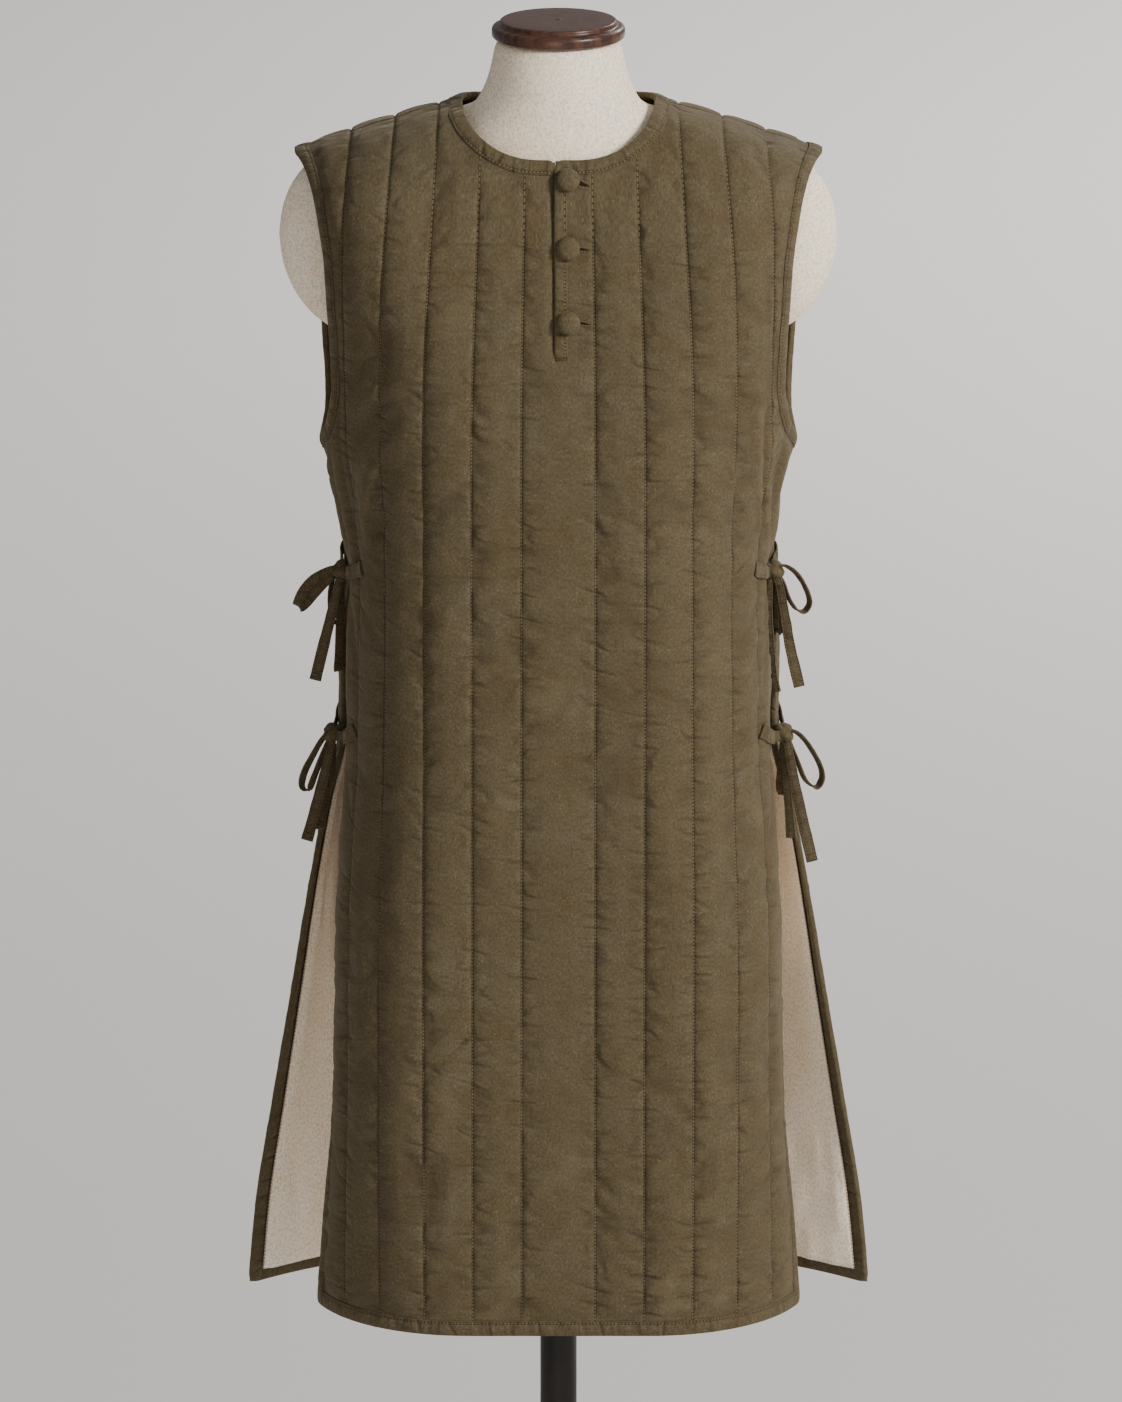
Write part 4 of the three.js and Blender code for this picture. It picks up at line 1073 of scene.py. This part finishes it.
# level, place of the knot outwards and in y, way along the cloth from the tab's start to its edge
WAIST = (1168, (186, -9), [190, 198, 206, 216, 226, 236])
HIP = (1022, (195, -8), [204, 209, 214, 221, 229, 240])
EDGE_ON = [(0.7, 0.1, 0.7), (0.8, 0.1, 0.6), (0.7, 0.1, 0.7)]
OPENING = [(0.8, 0.1, 0.6), (0.9, 0.2, 0.4)]
FLAT = [(1, 0.2, 0.3), (1, 0.2, 0.1), (1, 0.2, -0.1)]
RING = [(0.5, 0.3, 0.8), (0.4, 0.2, 0.9), (0.5, -0.1, 0.85), (0.4, 0.1, 0.9)]
# Each tape has a loop and a hemmed tail. Their points are outwards and upwards from the knot, and in front
# of it. Then come the directions that the tape's width takes on the way, and its widths.
BOWS = {
    "waist_left": (WAIST, -1, {
        "front": [
            ([(2, 2, 4), (12, 0, 5), (24, -7, 6), (34, -19, 6), (38, -30, 5), (34, -31, 2), (22, -18, 1),
              (8, -4, 0)],
             [(0.3, 0.9, 0.4), (0.5, 0.8, 0.2), (0.75, 0.6, 0.2), (0.5, 0.7, 0.2)], [7, 10, 10.5, 8]),
            ([(1, -4, 6), (4, -14, 7), (9, -36, 6), (16, -64, 6), (24, -97, 7)], FLAT, [7, 9.5, 10.5]),
        ],
        "back": [
            ([(3, -2, -3), (9, -12, -4), (11, -30, -5), (8, -46, -5), (4, -46, -7), (4, -28, -7),
              (2, -6, -4)],
             [(0.4, 0.1, 1), (0.5, 0.1, 0.9), (0.4, 0.1, 1)], [7, 9, 7]),
            ([(0, -4, -3), (1, -22, -4), (3, -52, -4), (4, -92, -4)], EDGE_ON[:2], [7, 9.5]),
        ],
    }),
    "waist_right": (WAIST, 1, {
        "front": [
            ([(3, 3, 3), (10, 4, 5), (19, -2, 6), (27, -16, 6), (30, -28, 5), (26, -36, 4), (19, -35, 3),
              (13, -26, 2), (8, -12, 2), (3, -3, 1)], RING, [7, 9, 9, 7]),
            ([(2, -4, 6), (5, -14, 7), (9, -38, 6), (14, -68, 6), (22, -103, 7)],
             [(1, 0.1, 0.3), (1, 0.2, 0.1), (1, 0.2, -0.1)], [6.5, 9, 10]),
        ],
        "back": [
            ([(2, -4, -3), (4, -20, -4), (5, -42, -5), (5, -56, -6), (1, -54, -7), (0, -30, -7), (0, -6, -4)],
             EDGE_ON, [7, 9, 7]),
            ([(-3, -4, 3), (-5, -22, 4), (-4, -56, 4), (-1, -92, 4), (2, -108, 4)],
             [(0.95, 0.1, 0.3), (0.9, 0.1, 0.5)], [7, 9.5]),
        ],
    }),
    "hip_left": (HIP, -1, {
        "front": [
            ([(3, 2, 4), (10, -6, 5), (18, -20, 6), (26, -36, 6), (27, -47, 5), (21, -50, 4), (16, -38, 3),
              (9, -20, 2), (3, -4, 1)],
             [(0.5, 0.4, 0.75), (0.5, 0.4, 0.75), (0.6, 0.1, 0.8), (0.4, 0.2, 0.9)], [7, 9, 9, 7]),
            ([(1, -4, 6), (3, -14, 7), (9, -42, 6), (16, -70, 6), (23, -95, 7)],
             [(1, 0.2, 0.3), (1, 0.2, 0.1), (1, 0.3, -0.1)], [7, 9.5, 10.5]),
        ],
        "back": [
            ([(1, -3, -3), (4, -16, -4), (6, -34, -5), (6, -46, -6), (2, -44, -7), (1, -26, -7), (0, -5, -4)],
             [(0.6, 0.1, 0.8), (0.7, 0.1, 0.7), (0.6, 0.1, 0.8)], [7, 9, 7]),
            ([(0, -4, -3), (3, -28, -4), (8, -60, -4), (12, -88, -4)], OPENING, [7, 9.5]),
        ],
    }),
    "hip_right": (HIP, 1, {
        "front": [
            ([(3, 3, 3), (11, 1, 5), (21, -10, 6), (30, -26, 6), (33, -40, 5), (28, -48, 4), (20, -43, 3),
              (13, -29, 2), (7, -13, 2), (3, -3, 1)], RING, [7, 9.5, 9.5, 7]),
            ([(2, -4, 6), (4, -14, 7), (9, -41, 6), (17, -79, 6), (25, -114, 7)],
             [(1, 0.1, 0.3), (1, 0.2, 0.1), (1, 0.25, -0.1)], [7, 9.5, 10.5]),
        ],
        "back": [
            ([(0, -4, -3), (1, -20, -4), (2, -42, -5), (1, -56, -6), (-3, -52, -7), (-2, -28, -7),
              (0, -6, -4)],
             EDGE_ON, [7, 9, 7]),
            ([(0, -4, 3), (2, -30, 3), (4, -60, 3), (7, -94, 3)], OPENING, [7, 9.5]),
        ],
    }),
}


def knot_place(bow):
    (level, (out, y), _), side, _ = bow
    return np.array([side * out, y, level], float)


def tie_piece(name, bow, which, seed):
    """One tape: the tab that is sewn to the cloth, a loop and a tail. Its length comes with it."""
    panel = FRONT if which == "front" else BACK
    (level, _, tab), side, strands = bow
    knot = knot_place(bow)
    levels = level + np.linspace(TAB_RISE, 0, len(tab))
    s = side * np.array(tab, float)
    lift = relief(panel, s, levels)[0] + np.interp(np.arange(len(s)), [0, 1, len(s) - 1], [0.9, 1.4, 2.4])
    on_panel = offset_point(panel, s, levels, lift)
    end = knot + (0, panel["side"] * 5, 0)
    made = [ribbon([*on_panel, end], [(0, 0, 1)], TAB_WIDTHS, seed)]
    for number, (points, across, widths) in enumerate(strands[which], 1):
        placed = [knot + (side * x, -y, z) for x, z, y in points]
        turned = [(side * x, -y, z) for x, z, y in across]
        made.append(ribbon(placed, turned, widths, seed + number, hem=number == 2))
    return tube_piece(name, [tube for tube, _ in made]), sum(length for _, length in made)


ties, knots = {}, {}
for number, (bow_name, bow) in enumerate(BOWS.items()):
    for which in ("front", "back"):
        seed = 5 * number + 2 * (which == "back")
        ties[f"tie_{bow_name}_{which}"] = tie_piece(f"tape_{bow_name}_{which}", bow, which, seed)
    lean = bow[1] * (0.3 + 0.12 * number)
    knots[bow_name] = knot_piece(f"knot_{bow_name}", knot_place(bow), KNOT_RADII, number, lean)
print({key: round(length) for key, (_, length) in ties.items()})

# %% [markdown]
# ## Dress form and stand

# %%
# z, half width, front, back
TORSO = [
    (800, 165, -104, 98), (830, 172, -112, 106), (900, 172, -117, 110), (1000, 166, -114, 103),
    (1100, 156, -107, 94), (1168, 152, -104, 90), (1225, 160, -107, 92), (1289, 178, -111, 95),
    (1345, 189, -108, 97), (1400, 188, -103, 95), (1440, 176, -98, 90), (1480, 156, -89, 82),
    (1510, 133, -80, 73), (1535, 108, -73, 66), (1556, 88, -66, 60), (1572, 75, -62, 60),
    (1586, 66, -61, 61), (1601, 60, -60, 60), (1634, 53, -53, 53),
]
STUMP_RADII = (67, 42, 84)
STUMP_PLACE = (172, 6, 1455)
STUMP_LEAN = 10
FORM_VOXEL = 0.0042


def form_rings():
    """The torso, the line of its shoulders and the two arm stumps, which meet in one another."""
    turn = circle(96)
    z = spread(800, 1634, 7)[:, None]
    wide, front, back = (follow(TORSO, z, k) for k in (1, 2, 3))
    deep = np.where(np.sin(turn) < 0, -front, back)
    body = np.stack(arrays(wide * np.cos(turn), deep * np.sin(turn), z), -1)
    x = spread(-172, 172, 7)[:, None]
    below = 3.8 + 4.4 * smoothstep(96 - np.abs(x), -6, 6)
    top = ridge_top(x) - below - 30
    yoke = np.stack(arrays(x, RIDGE_Y + 40 * np.cos(turn), top + 30 * np.sin(turn)), -1)
    x, y, z = np.moveaxis(ball(48, 96, 0.02) * STUMP_RADII, -1, 0)
    stumps = []
    for sign in (-1, 1):
        lean = math.radians(sign * STUMP_LEAN)
        tilted = (x * math.cos(lean) + z * math.sin(lean), y, z * math.cos(lean) - x * math.sin(lean))
        stumps.append(np.stack(tilted, -1) + (sign * STUMP_PLACE[0], *STUMP_PLACE[1:]))
    return [body, yoke, *stumps]


def form_piece(name):
    piece = tube_piece(name, [(rings, {}) for rings in form_rings()])
    remesh = piece.modifiers.new("one skin", "REMESH")
    remesh.mode = "VOXEL"
    remesh.voxel_size = FORM_VOXEL
    smooth = piece.modifiers.new("soft joins", "SMOOTH")
    smooth.factor = 0.5
    smooth.iterations = 14
    graph = bpy.context.evaluated_depsgraph_get()
    mesh = bpy.data.meshes.new_from_object(piece.evaluated_get(graph))
    piece.modifiers.clear()
    piece.data = mesh
    mesh.polygons.foreach_set("use_smooth", np.ones(len(mesh.polygons), bool))
    return piece


def turned_piece(name, profile, count=96):
    """A turned piece about the stand's axis, from radius and height pairs in millimetres."""
    radius, height = np.array(profile, float).T[..., None]
    turn = circle(count)
    rings = np.stack(arrays(radius * np.cos(turn), radius * np.sin(turn), height), -1)
    piece = tube_piece(name, [(rings, {})])
    piece.modifiers.new("crisp edges", "EDGE_SPLIT").split_angle = math.radians(40)
    return piece


def stand_box(node):
    """Foot, top and radius of a turned part, in millimetres."""
    low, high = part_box(node)
    return low.z / MM, high.z / MM, high.x / MM


CAP_PROFILE = [
    (0.3, 0), (54, 0), (55.6, 0.5), (56.6, 1.6), (57, 3), (57, 6.6), (56.7, 8.2), (55.9, 9.6), (54.6, 10.4),
    (52.4, 10.8), (51, 11), (50.3, 11.5), (50, 12.2), (50, 13.6), (49.7, 14.6), (48.9, 15.2), (47.6, 15.4),
    (30, 15.45), (4, 15.5), (2.4, 15.45), (1.8, 15.9), (0.3, 15.9),
]
form = form_piece("linen_form")
foot, _, _ = stand_box("neck_cap")
neck_cap = turned_piece("varnished_cap", [(r, foot + h) for r, h in CAP_PROFILE])
foot, top, radius = stand_box("pole")
pole_piece = turned_piece("black_pole", [
    (0.3, foot), (radius - 0.4, foot), (radius, foot + 0.4),
    (radius, top - 0.4), (radius - 0.4, top), (0.3, top),
])
foot, top, _ = stand_box("pole_socket")
socket = turned_piece("socket_flange", [
    (0.3, foot), (21.2, foot), (22, foot + 0.8), (23.6, foot + 10), (26, foot + 12.6), (45, foot + 14.6),
    (46, foot + 15.6), (46, top - 0.6), (45.4, top), (0.3, top),
])
foot, top, _ = stand_box("base_collar")
collar = turned_piece("foot_collar", [
    (0.3, foot), (31.4, foot), (32, foot + 0.6), (32, foot + 15), (30.6, foot + 18.4), (27, top - 1.6),
    (25.4, top), (0.3, top),
])
_, _, radius = stand_box("base_plate")
foot_plate = turned_piece("foot_plate", [
    (0.3, 0), (radius - 2, 0), (radius - 0.6, 0.6), (radius, 2), (radius, 8), (radius - 0.7, 10),
    (radius - 2.2, 11.4), (radius - 4.4, 12), (0.3, 12),
], 160)
report(form, neck_cap, pole_piece, foot_plate)

# %% [markdown]
# ## Shader groups
# What more than one material uses: the woven face with its mottling and wear, and the stitches.
# A wire is a value that runs between nodes. It takes the signs of arithmetic.

# %%


class Wire:
    """An output of a node and the tree that it belongs to."""

    def __init__(self, socket):
        self.socket = socket
        self.tree = socket.id_data

    def __add__(self, other):
        return calculate("ADD", self, other)

    def __sub__(self, other):
        return calculate("SUBTRACT", self, other)

    def __mul__(self, other):
        return calculate("MULTIPLY", self, other)

    def __abs__(self):
        return calculate("ABSOLUTE", self)


def feed(target, value):
    """Gives an input a wire, a colour or a constant."""
    if isinstance(value, Wire):
        value.tree.links.new(value.socket, target)
    elif target.type == "RGBA" and len(value) == 3:
        target.default_value = (*value, 1)
    else:
        target.default_value = value


def add_node(tree, kind, inputs, **settings):
    """The outputs of a new node, as wires by number and by name."""
    node = tree.nodes.new("ShaderNode" + kind)
    for key, value in settings.items():
        setattr(node, key, value)
    for key, value in inputs.items():
        feed(node.inputs[key], value)
    wires = [Wire(socket) for socket in node.outputs]
    return {**dict(enumerate(wires)), **{wire.socket.name: wire for wire in wires}}


def tree_of(*values):
    return next(value.tree for value in values if isinstance(value, Wire))


def calculate(operation, *values):
    return add_node(tree_of(*values), "Math", dict(enumerate(values)), operation=operation)[0]


def ramp(value, low, high, to_low=0.0, to_high=1.0):
    """A smooth step of value from low to high."""
    limits = {"From Min": low, "From Max": high, "To Min": to_low, "To Max": to_high}
    return add_node(value.tree, "MapRange", {"Value": value} | limits, interpolation_type="SMOOTHSTEP")[0]


def mix(factor, first, second, kind="MIX"):
    tree = tree_of(factor, first, second)
    return add_node(tree, "Mix", {0: factor, 6: first, 7: second}, data_type="RGBA", blend_type=kind)[2]


def noise_node(vector, scale, detail=2.0, rough=0.5, stretch=(1, 1, 1)):
    mapped = add_node(vector.tree, "Mapping", {"Vector": vector, "Scale": stretch})[0]
    inputs = {"Vector": mapped, "Scale": scale, "Detail": detail, "Roughness": rough}
    return add_node(vector.tree, "TexNoise", inputs)["Fac"]


def attribute(tree, name):
    return add_node(tree, "Attribute", {}, attribute_name=name)["Vector"]


def object_place(tree):
    return add_node(tree, "TexCoord", {})["Object"]


def parts_of(vector):
    parts = add_node(vector.tree, "SeparateXYZ", {0: vector})
    return parts[0], parts[1], parts[2]


def bump(height, distance, strength):
    return add_node(height.tree, "Bump", {"Height": height, "Distance": distance, "Strength": strength})[0]


def new_group(name, inputs, outputs):
    """An empty group, the wires that come in and the sockets that go out."""
    tree = bpy.data.node_groups.new(name, "ShaderNodeTree")
    for socket, kind, value in inputs:
        made = tree.interface.new_socket(socket, in_out="INPUT", socket_type="NodeSocket" + kind)
        if value is not None:
            made.default_value = value
    for socket, kind in outputs:
        tree.interface.new_socket(socket, in_out="OUTPUT", socket_type="NodeSocket" + kind)
    wires = {socket.name: Wire(socket) for socket in tree.nodes.new("NodeGroupInput").outputs}
    return tree, wires, tree.nodes.new("NodeGroupOutput").inputs


def use_group(group, **inputs):
    return add_node(tree_of(*inputs.values()), "Group", inputs, node_tree=group)


def weave_group():
    """Plain weave: over and under threads, with slubs, as a height from 0 to 1."""
    tree, wires, out = new_group(
        "plain_weave",
        [("Cloth", "Vector", None), ("Thread", "Float", 0.8)],
        [("Height", "Float"), ("Slub", "Float")],
    )
    x, y, _ = parts_of(wires["Cloth"])
    turn = calculate("DIVIDE", 2 * math.pi, wires["Thread"])
    feed(out["Height"], calculate("SINE", x * turn) * calculate("SINE", y * turn) * 0.5 + 0.5)
    slub_warp = noise_node(wires["Cloth"], 0.35, 1.0, 0.5, (4.0, 0.25, 1))
    slub_weft = noise_node(wires["Cloth"], 0.35, 1.0, 0.5, (0.25, 4.0, 1))
    feed(out["Slub"], calculate("MAXIMUM", slub_warp, slub_weft))
    return tree


def stitch_group():
    """A row of stitches: painted shade along its groove, and raised threads at each dash."""
    tree, wires, out = new_group(
        "stitch_row",
        [("Seam", "Vector", None), ("Pitch", "Float", 3.1)],
        [("Thread", "Float"), ("Groove_Shade", "Float"), ("Dimple", "Float")],
    )
    distance, along, strength = parts_of(wires["Seam"])
    strength = calculate("MINIMUM", strength, 1.0)
    centred = abs(calculate("FRACT", calculate("DIVIDE", along, wires["Pitch"])) - 0.5)
    dash = ramp(centred, 0.28, 0.4, 1.0, 0.0)
    feed(out["Thread"], dash * ramp(distance, 0.35, 0.75, 1.0, 0.0) * strength)
    # Painted shade along the stitch line's groove.
    feed(out["Groove_Shade"], ramp(distance, 0.35, 1.5, 1.0, 0.0) * strength)
    feed(out["Dimple"], ramp(centred, 0.38, 0.48) * ramp(distance, 0.5, 1.3, 1.0, 0.0))
    return tree


def mottle_group():
    """Soft uneven dye and fine nap over a cloth: colour in, colour out."""
    tree, wires, out = new_group(
        "mottled_dye",
        [
            ("Cloth", "Vector", None),
            ("Main", "Color", (0.2, 0.16, 0.1, 1)),
            ("Warm", "Color", (0.22, 0.17, 0.1, 1)),
            ("Cool", "Color", (0.18, 0.16, 0.12, 1)),
            ("Fleck", "Color", (0.35, 0.3, 0.2, 1)),
        ],
        [("Color", "Color"), ("Nap", "Float")],
    )
    cloth = wires["Cloth"]
    blend = noise_node(cloth, 0.016, 3.0, 0.6) * 0.5 + noise_node(cloth, 0.07, 3.0, 0.6) * 0.5
    colour = mix(ramp(blend, 0.34, 0.52), wires["Warm"], wires["Main"])
    colour = mix(ramp(blend, 0.5, 0.66), colour, wires["Cool"])
    nap = noise_node(cloth, 0.42, 4.0, 0.72, (1.15, 0.85, 1))
    shade = ramp(nap, 0.3, 0.7, 0.72, 1.28)
    grey = add_node(tree, "CombineColor", {0: shade, 1: shade, 2: shade})[0]
    colour = mix(1.0, colour, grey, "MULTIPLY")
    fleck = ramp(noise_node(cloth, 0.62, 1.0, 0.5, (1.4, 0.7, 1)), 0.64, 0.74)
    fleck *= ramp(noise_node(cloth, 0.05, 1.0), 0.38, 0.62, 0.25, 1.0)
    feed(out["Color"], mix(fleck * 0.5, colour, wires["Fleck"]))
    feed(out["Nap"], nap)
    return tree


plain_weave = weave_group()
stitch_row = stitch_group()
mottled_dye = mottle_group()
print("groups:", [group.name for group in bpy.data.node_groups])

# %% [markdown]
# ## Materials
# Colours are linear values. Each function makes the wires for the inputs of its material.

# %%


def linear(*colour):
    """A linear colour from display values of 0 to 255."""
    shares = [value / 255 for value in colour]
    return tuple(v / 12.92 if v <= 0.04045 else ((v + 0.055) / 1.055) ** 2.4 for v in shares)


def new_material(name, wires_for, **constants):
    """A principled material with its wires and constants."""
    material = bpy.data.materials.new(name)
    material.use_nodes = True
    shader = material.node_tree.nodes["Principled BSDF"]
    for key, value in (constants | wires_for(material.node_tree)).items():
        feed(shader.inputs[key.replace("_", " ")], value)
    return material


def quilted_cotton(tree):
    cloth = attribute(tree, "cloth")
    seam = attribute(tree, "seam")
    folds = parts_of(attribute(tree, "relief"))[0]
    line_distance = parts_of(seam)[0]
    dye = use_group(
        mottled_dye, Cloth=cloth, Main=linear(86, 75, 53), Warm=linear(83, 70, 46),
        Cool=linear(90, 80, 60), Fleck=linear(146, 132, 105),
    )
    weave = use_group(plain_weave, Cloth=cloth, Thread=0.9)
    stitches = use_group(stitch_row, Seam=seam, Pitch=3.1)
    # Crests of the folds are lighter as wear; their troughs are darker as painted shade.
    colour = mix(ramp(folds, 0.25, 1.6) * 0.22, dye["Color"], linear(122, 106, 78))
    colour = mix(ramp(folds, -1.8, -0.2, 1.0, 0.0) * 0.25, colour, linear(66, 53, 34))
    # Narrow wrinkles: real dents in the bump, and painted shade along them in the colour.
    wrinkle = abs(noise_node(cloth, 0.03, 1.0, 0.45, (0.55, 1.4, 1)) - 0.5)
    wrinkle = ramp(wrinkle, 0.0, 0.075, 1.0, 0.0) * ramp(line_distance, 3.0, 20.0, 1.0, 0.1)
    colour = mix(wrinkle * 0.2, colour, linear(52, 42, 27))
    # Painted shade in the stitch grooves.
    colour = mix(stitches["Groove_Shade"] * 0.85, colour, linear(38, 29, 17))
    colour = mix(stitches["Thread"] * 0.75, colour, linear(120, 103, 74))
    crumple = noise_node(cloth, 0.1, 3.0, 0.5, (0.5, 1.3, 1)) * ramp(line_distance, 2.0, 16.0, 8.0, 3.5)
    height = weave["Height"] * 0.10 + dye["Nap"] * 0.7 + crumple + wrinkle * -3.6
    height = height + stitches["Thread"] * 0.9 + stitches["Dimple"] * -0.9
    return {"Base_Color": colour, "Normal": bump(height, 0.0007, 0.55)}


def lining_cotton(tree):
    cloth = attribute(tree, "cloth")
    dye = use_group(
        mottled_dye, Cloth=cloth, Main=linear(252, 238, 218), Warm=linear(249, 230, 203),
        Cool=linear(248, 234, 216), Fleck=linear(254, 248, 236),
    )
    weave = use_group(plain_weave, Cloth=cloth, Thread=1.1)
    stitches = use_group(stitch_row, Seam=attribute(tree, "seam"), Pitch=3.1)
    # Painted shade along the lining's stitch lines.
    colour = mix(stitches["Groove_Shade"] * 0.5, dye["Color"], linear(168, 148, 124))
    colour = mix(stitches["Thread"] * 0.8, colour, linear(122, 102, 76))
    return {"Base_Color": colour, "Normal": bump(weave["Slub"] * 0.6 + weave["Height"], 0.0003, 0.5)}


# Painted shadow: the colour of the dark sheet inside a buttonhole's slit.
def painted_slit_shadow_colour(tree):
    return {"Base_Color": mix(noise_node(object_place(tree), 900), linear(34, 25, 16), linear(50, 38, 25))}


NECK_SEAM_Z = 1562.0
NECK_SEAM_RISE = 0.42


def form_linen(tree):
    place_mm = add_node(tree, "VectorMath", {0: object_place(tree), "Scale": 1 / MM}, operation="SCALE")[0]
    x, y, z = parts_of(place_mm)
    around = calculate("ARCTAN2", x, y * -1.0) * 90.0
    cloth = add_node(tree, "CombineXYZ", {0: around, 1: z})[0]
    dye = use_group(
        mottled_dye, Cloth=place_mm, Main=linear(254, 238, 214), Warm=linear(252, 231, 201),
        Cool=linear(250, 236, 216), Fleck=linear(255, 247, 232),
    )
    weave = use_group(plain_weave, Cloth=cloth, Thread=1.0)
    over_neck = z - (y * NECK_SEAM_RISE + NECK_SEAM_Z)
    below = ramp(over_neck, -1.0, 0.0, 1.0, 0.0)

    def seams(start, end):
        centre = ramp(abs(x), start, end, 1.0, 0.0) * below
        return calculate("MAXIMUM", ramp(abs(over_neck), start, end, 1.0, 0.0), centre)

    colour = mix(seams(0.25, 0.9) * 0.45, dye["Color"], linear(176, 164, 150))
    height = weave["Height"] * 0.12 + weave["Slub"] * 0.22 + seams(0.3, 2.4) * -1.0
    return {"Base_Color": colour, "Normal": bump(height, 0.0006, 0.5)}


def varnished_wood(tree):
    streak = noise_node(object_place(tree), 60, 4.0, 0.6, (1, 7, 1))
    fine = noise_node(object_place(tree), 420, 3.0, 0.6, (1, 9, 1))
    colour = mix(ramp(streak, 0.35, 0.65), linear(52, 30, 21), linear(88, 54, 38))
    colour = mix(ramp(fine, 0.5, 0.7, 0.0, 0.4), colour, linear(38, 22, 16))
    rough = ramp(fine, 0.3, 0.7, 0.36, 0.5)
    return {"Base_Color": colour, "Roughness": rough, "Normal": bump(fine, 0.0002, 0.25)}


def black_metal(tree):
    speckle = noise_node(object_place(tree), 700, 3.0, 0.6)
    cloud = noise_node(object_place(tree), 14, 3.0, 0.6)
    colour = mix(ramp(cloud, 0.35, 0.65), linear(30, 27, 25), linear(44, 40, 37))
    rough = ramp(cloud, 0.3, 0.7, 0.38, 0.55)
    return {"Base_Color": colour, "Roughness": rough, "Normal": bump(speckle, 0.0002, 0.3)}


olive = new_material(
    "olive_cotton", quilted_cotton, Roughness=0.82, Sheen_Weight=0.18, Sheen_Roughness=0.45,
    Sheen_Tint=(0.7, 0.6, 0.42), Specular_IOR_Level=0.28,
)
natural = new_material(
    "natural_cotton", lining_cotton, Roughness=0.9, Sheen_Weight=0.1, Sheen_Roughness=0.5,
    Specular_IOR_Level=0.25,
)
# Painted shadow for the buttonhole slits.
dark = new_material("painted_slit_shadow", painted_slit_shadow_colour, Roughness=0.95, Specular_IOR_Level=0.1)
linen = new_material(
    "linen", form_linen, Roughness=0.88, Sheen_Weight=0.12, Sheen_Roughness=0.5, Specular_IOR_Level=0.3,
)
varnish = new_material(
    "varnished_wood", varnished_wood, Coat_Weight=0.25, Coat_Roughness=0.2, Specular_IOR_Level=0.35,
)
metal = new_material("black_metal", black_metal, Metallic=0.5)
print("materials:", len(bpy.data.materials))

# %% [markdown]
# ## Every piece gets its material and body, and the CAD parts that it stands for are hidden

# %%


def place(piece, material, slot, *replaced):
    piece.data.materials.append(material)
    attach(piece, "root")
    if replaced:
        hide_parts(*replaced)


olive_pieces = {
    "front_panel": front_panel, "back_panel": back_panel,
    "front_edge_binding": front_band, "back_edge_binding": back_band,
    "armhole_binding_left": left_band, "armhole_binding_right": right_band,
    "neck_binding": neck_piece, "placket": placket_strip,
    **{f"button_{number}": button for number, button in enumerate(buttons, 1)},
    **{node: tape for node, (tape, _) in ties.items()},
}
for node, piece in olive_pieces.items():
    place(piece, olive, "olive_cotton", node)
for knot in knots.values():
    place(knot, olive, "olive_cotton")
for lips, slit in holes:
    place(lips, olive, "olive_cotton")
    place(slit, dark, "olive_cotton")
place(front_lining, natural, "natural_cotton", "front_lining")
place(back_lining, natural, "natural_cotton", "back_lining")
place(form, linen, "linen", "form_torso")
place(neck_cap, varnish, "varnished_wood", "neck_cap")
stand = {"pole": pole_piece, "pole_socket": socket, "base_collar": collar, "base_plate": foot_plate}
for node, piece in stand.items():
    place(piece, metal, "black_metal", node)


def girth_mm(panel):
    return 2 * panel["sections"][:, 4].max()


def declare_sheet(piece, flat_mm):
    half = area_of(piece) / 2
    flat = (flat_mm[0] * MM, flat_mm[1] * MM)
    area = min(flat[0] * flat[1], max(half, 0.31 * flat[0] * flat[1]))


declare_sheet(front_panel, (girth_mm(FRONT), 1160))
declare_sheet(back_panel, (girth_mm(BACK), 1160))
declare_sheet(front_lining, (480, 640))
declare_sheet(back_lining, (572, 640))
declare_sheet(front_band, (30, 1860))
declare_sheet(back_band, (30, 1950))
declare_sheet(left_band, (30, 640))
declare_sheet(right_band, (30, 640))
declare_sheet(neck_piece, (32, 520))
declare_sheet(placket_strip, (14, 160))
for node_name, (tape, length) in ties.items():
    bow_name = node_name.removeprefix("tie_").rsplit("_", 1)[0]
    declare_sheet(tape, (24, length))

# %% [markdown]
# ## Backdrop and light

# %%
FLOOR_HALF = 18.0


def paper(tree):
    grain = noise_node(object_place(tree), 1.2)
    return {"Base_Color": mix(grain, linear(219, 216, 212), linear(222, 219, 215))}


def paper_floor():
    """A wide sheet of paper that fills the view from every side."""
    reach = FLOOR_HALF / MM
    corners = [(x, y, 0) for y in (-reach, reach) for x in (-reach, reach)]
    floor = make_piece("paper_floor", corners, grid_faces(2, 2))
    floor.data.materials.append(new_material("paper", paper, Roughness=0.95, Specular_IOR_Level=0.1))


def area_light(name, place_m, target, size, power, colour=(1, 1, 1)):
    data = bpy.data.lights.new(name, "AREA")
    data.shape = "RECTANGLE"
    data.size = data.size_y = size
    data.energy = power
    data.color = colour
    aimed(name, data, place_m, target).visible_camera = False


paper_floor()
area_light("key", (3.7, -3.1, 3.9), (0, 0, 1.0), 1.4, 335, (1.0, 0.975, 0.94))
area_light("fill", (-0.4, -5.4, 1.2), (0, 0, 0.8), 1.8, 34, (1.0, 0.98, 0.96))
area_light("top", (0.4, -0.4, 4.2), (0, 0, 1.2), 2.4, 8, (1.0, 0.99, 0.97))
area_light("floor_light", (3.6, 6.6, 4.6), (2.4, 7.0, 0), 3.0, 520)
world = bpy.data.worlds.new("room")
world.use_nodes = True
world.node_tree.nodes["Background"].inputs["Color"].default_value = (0.95, 0.945, 0.94, 1)
world.node_tree.nodes["Background"].inputs["Strength"].default_value = 0.30
bpy.context.scene.world = world
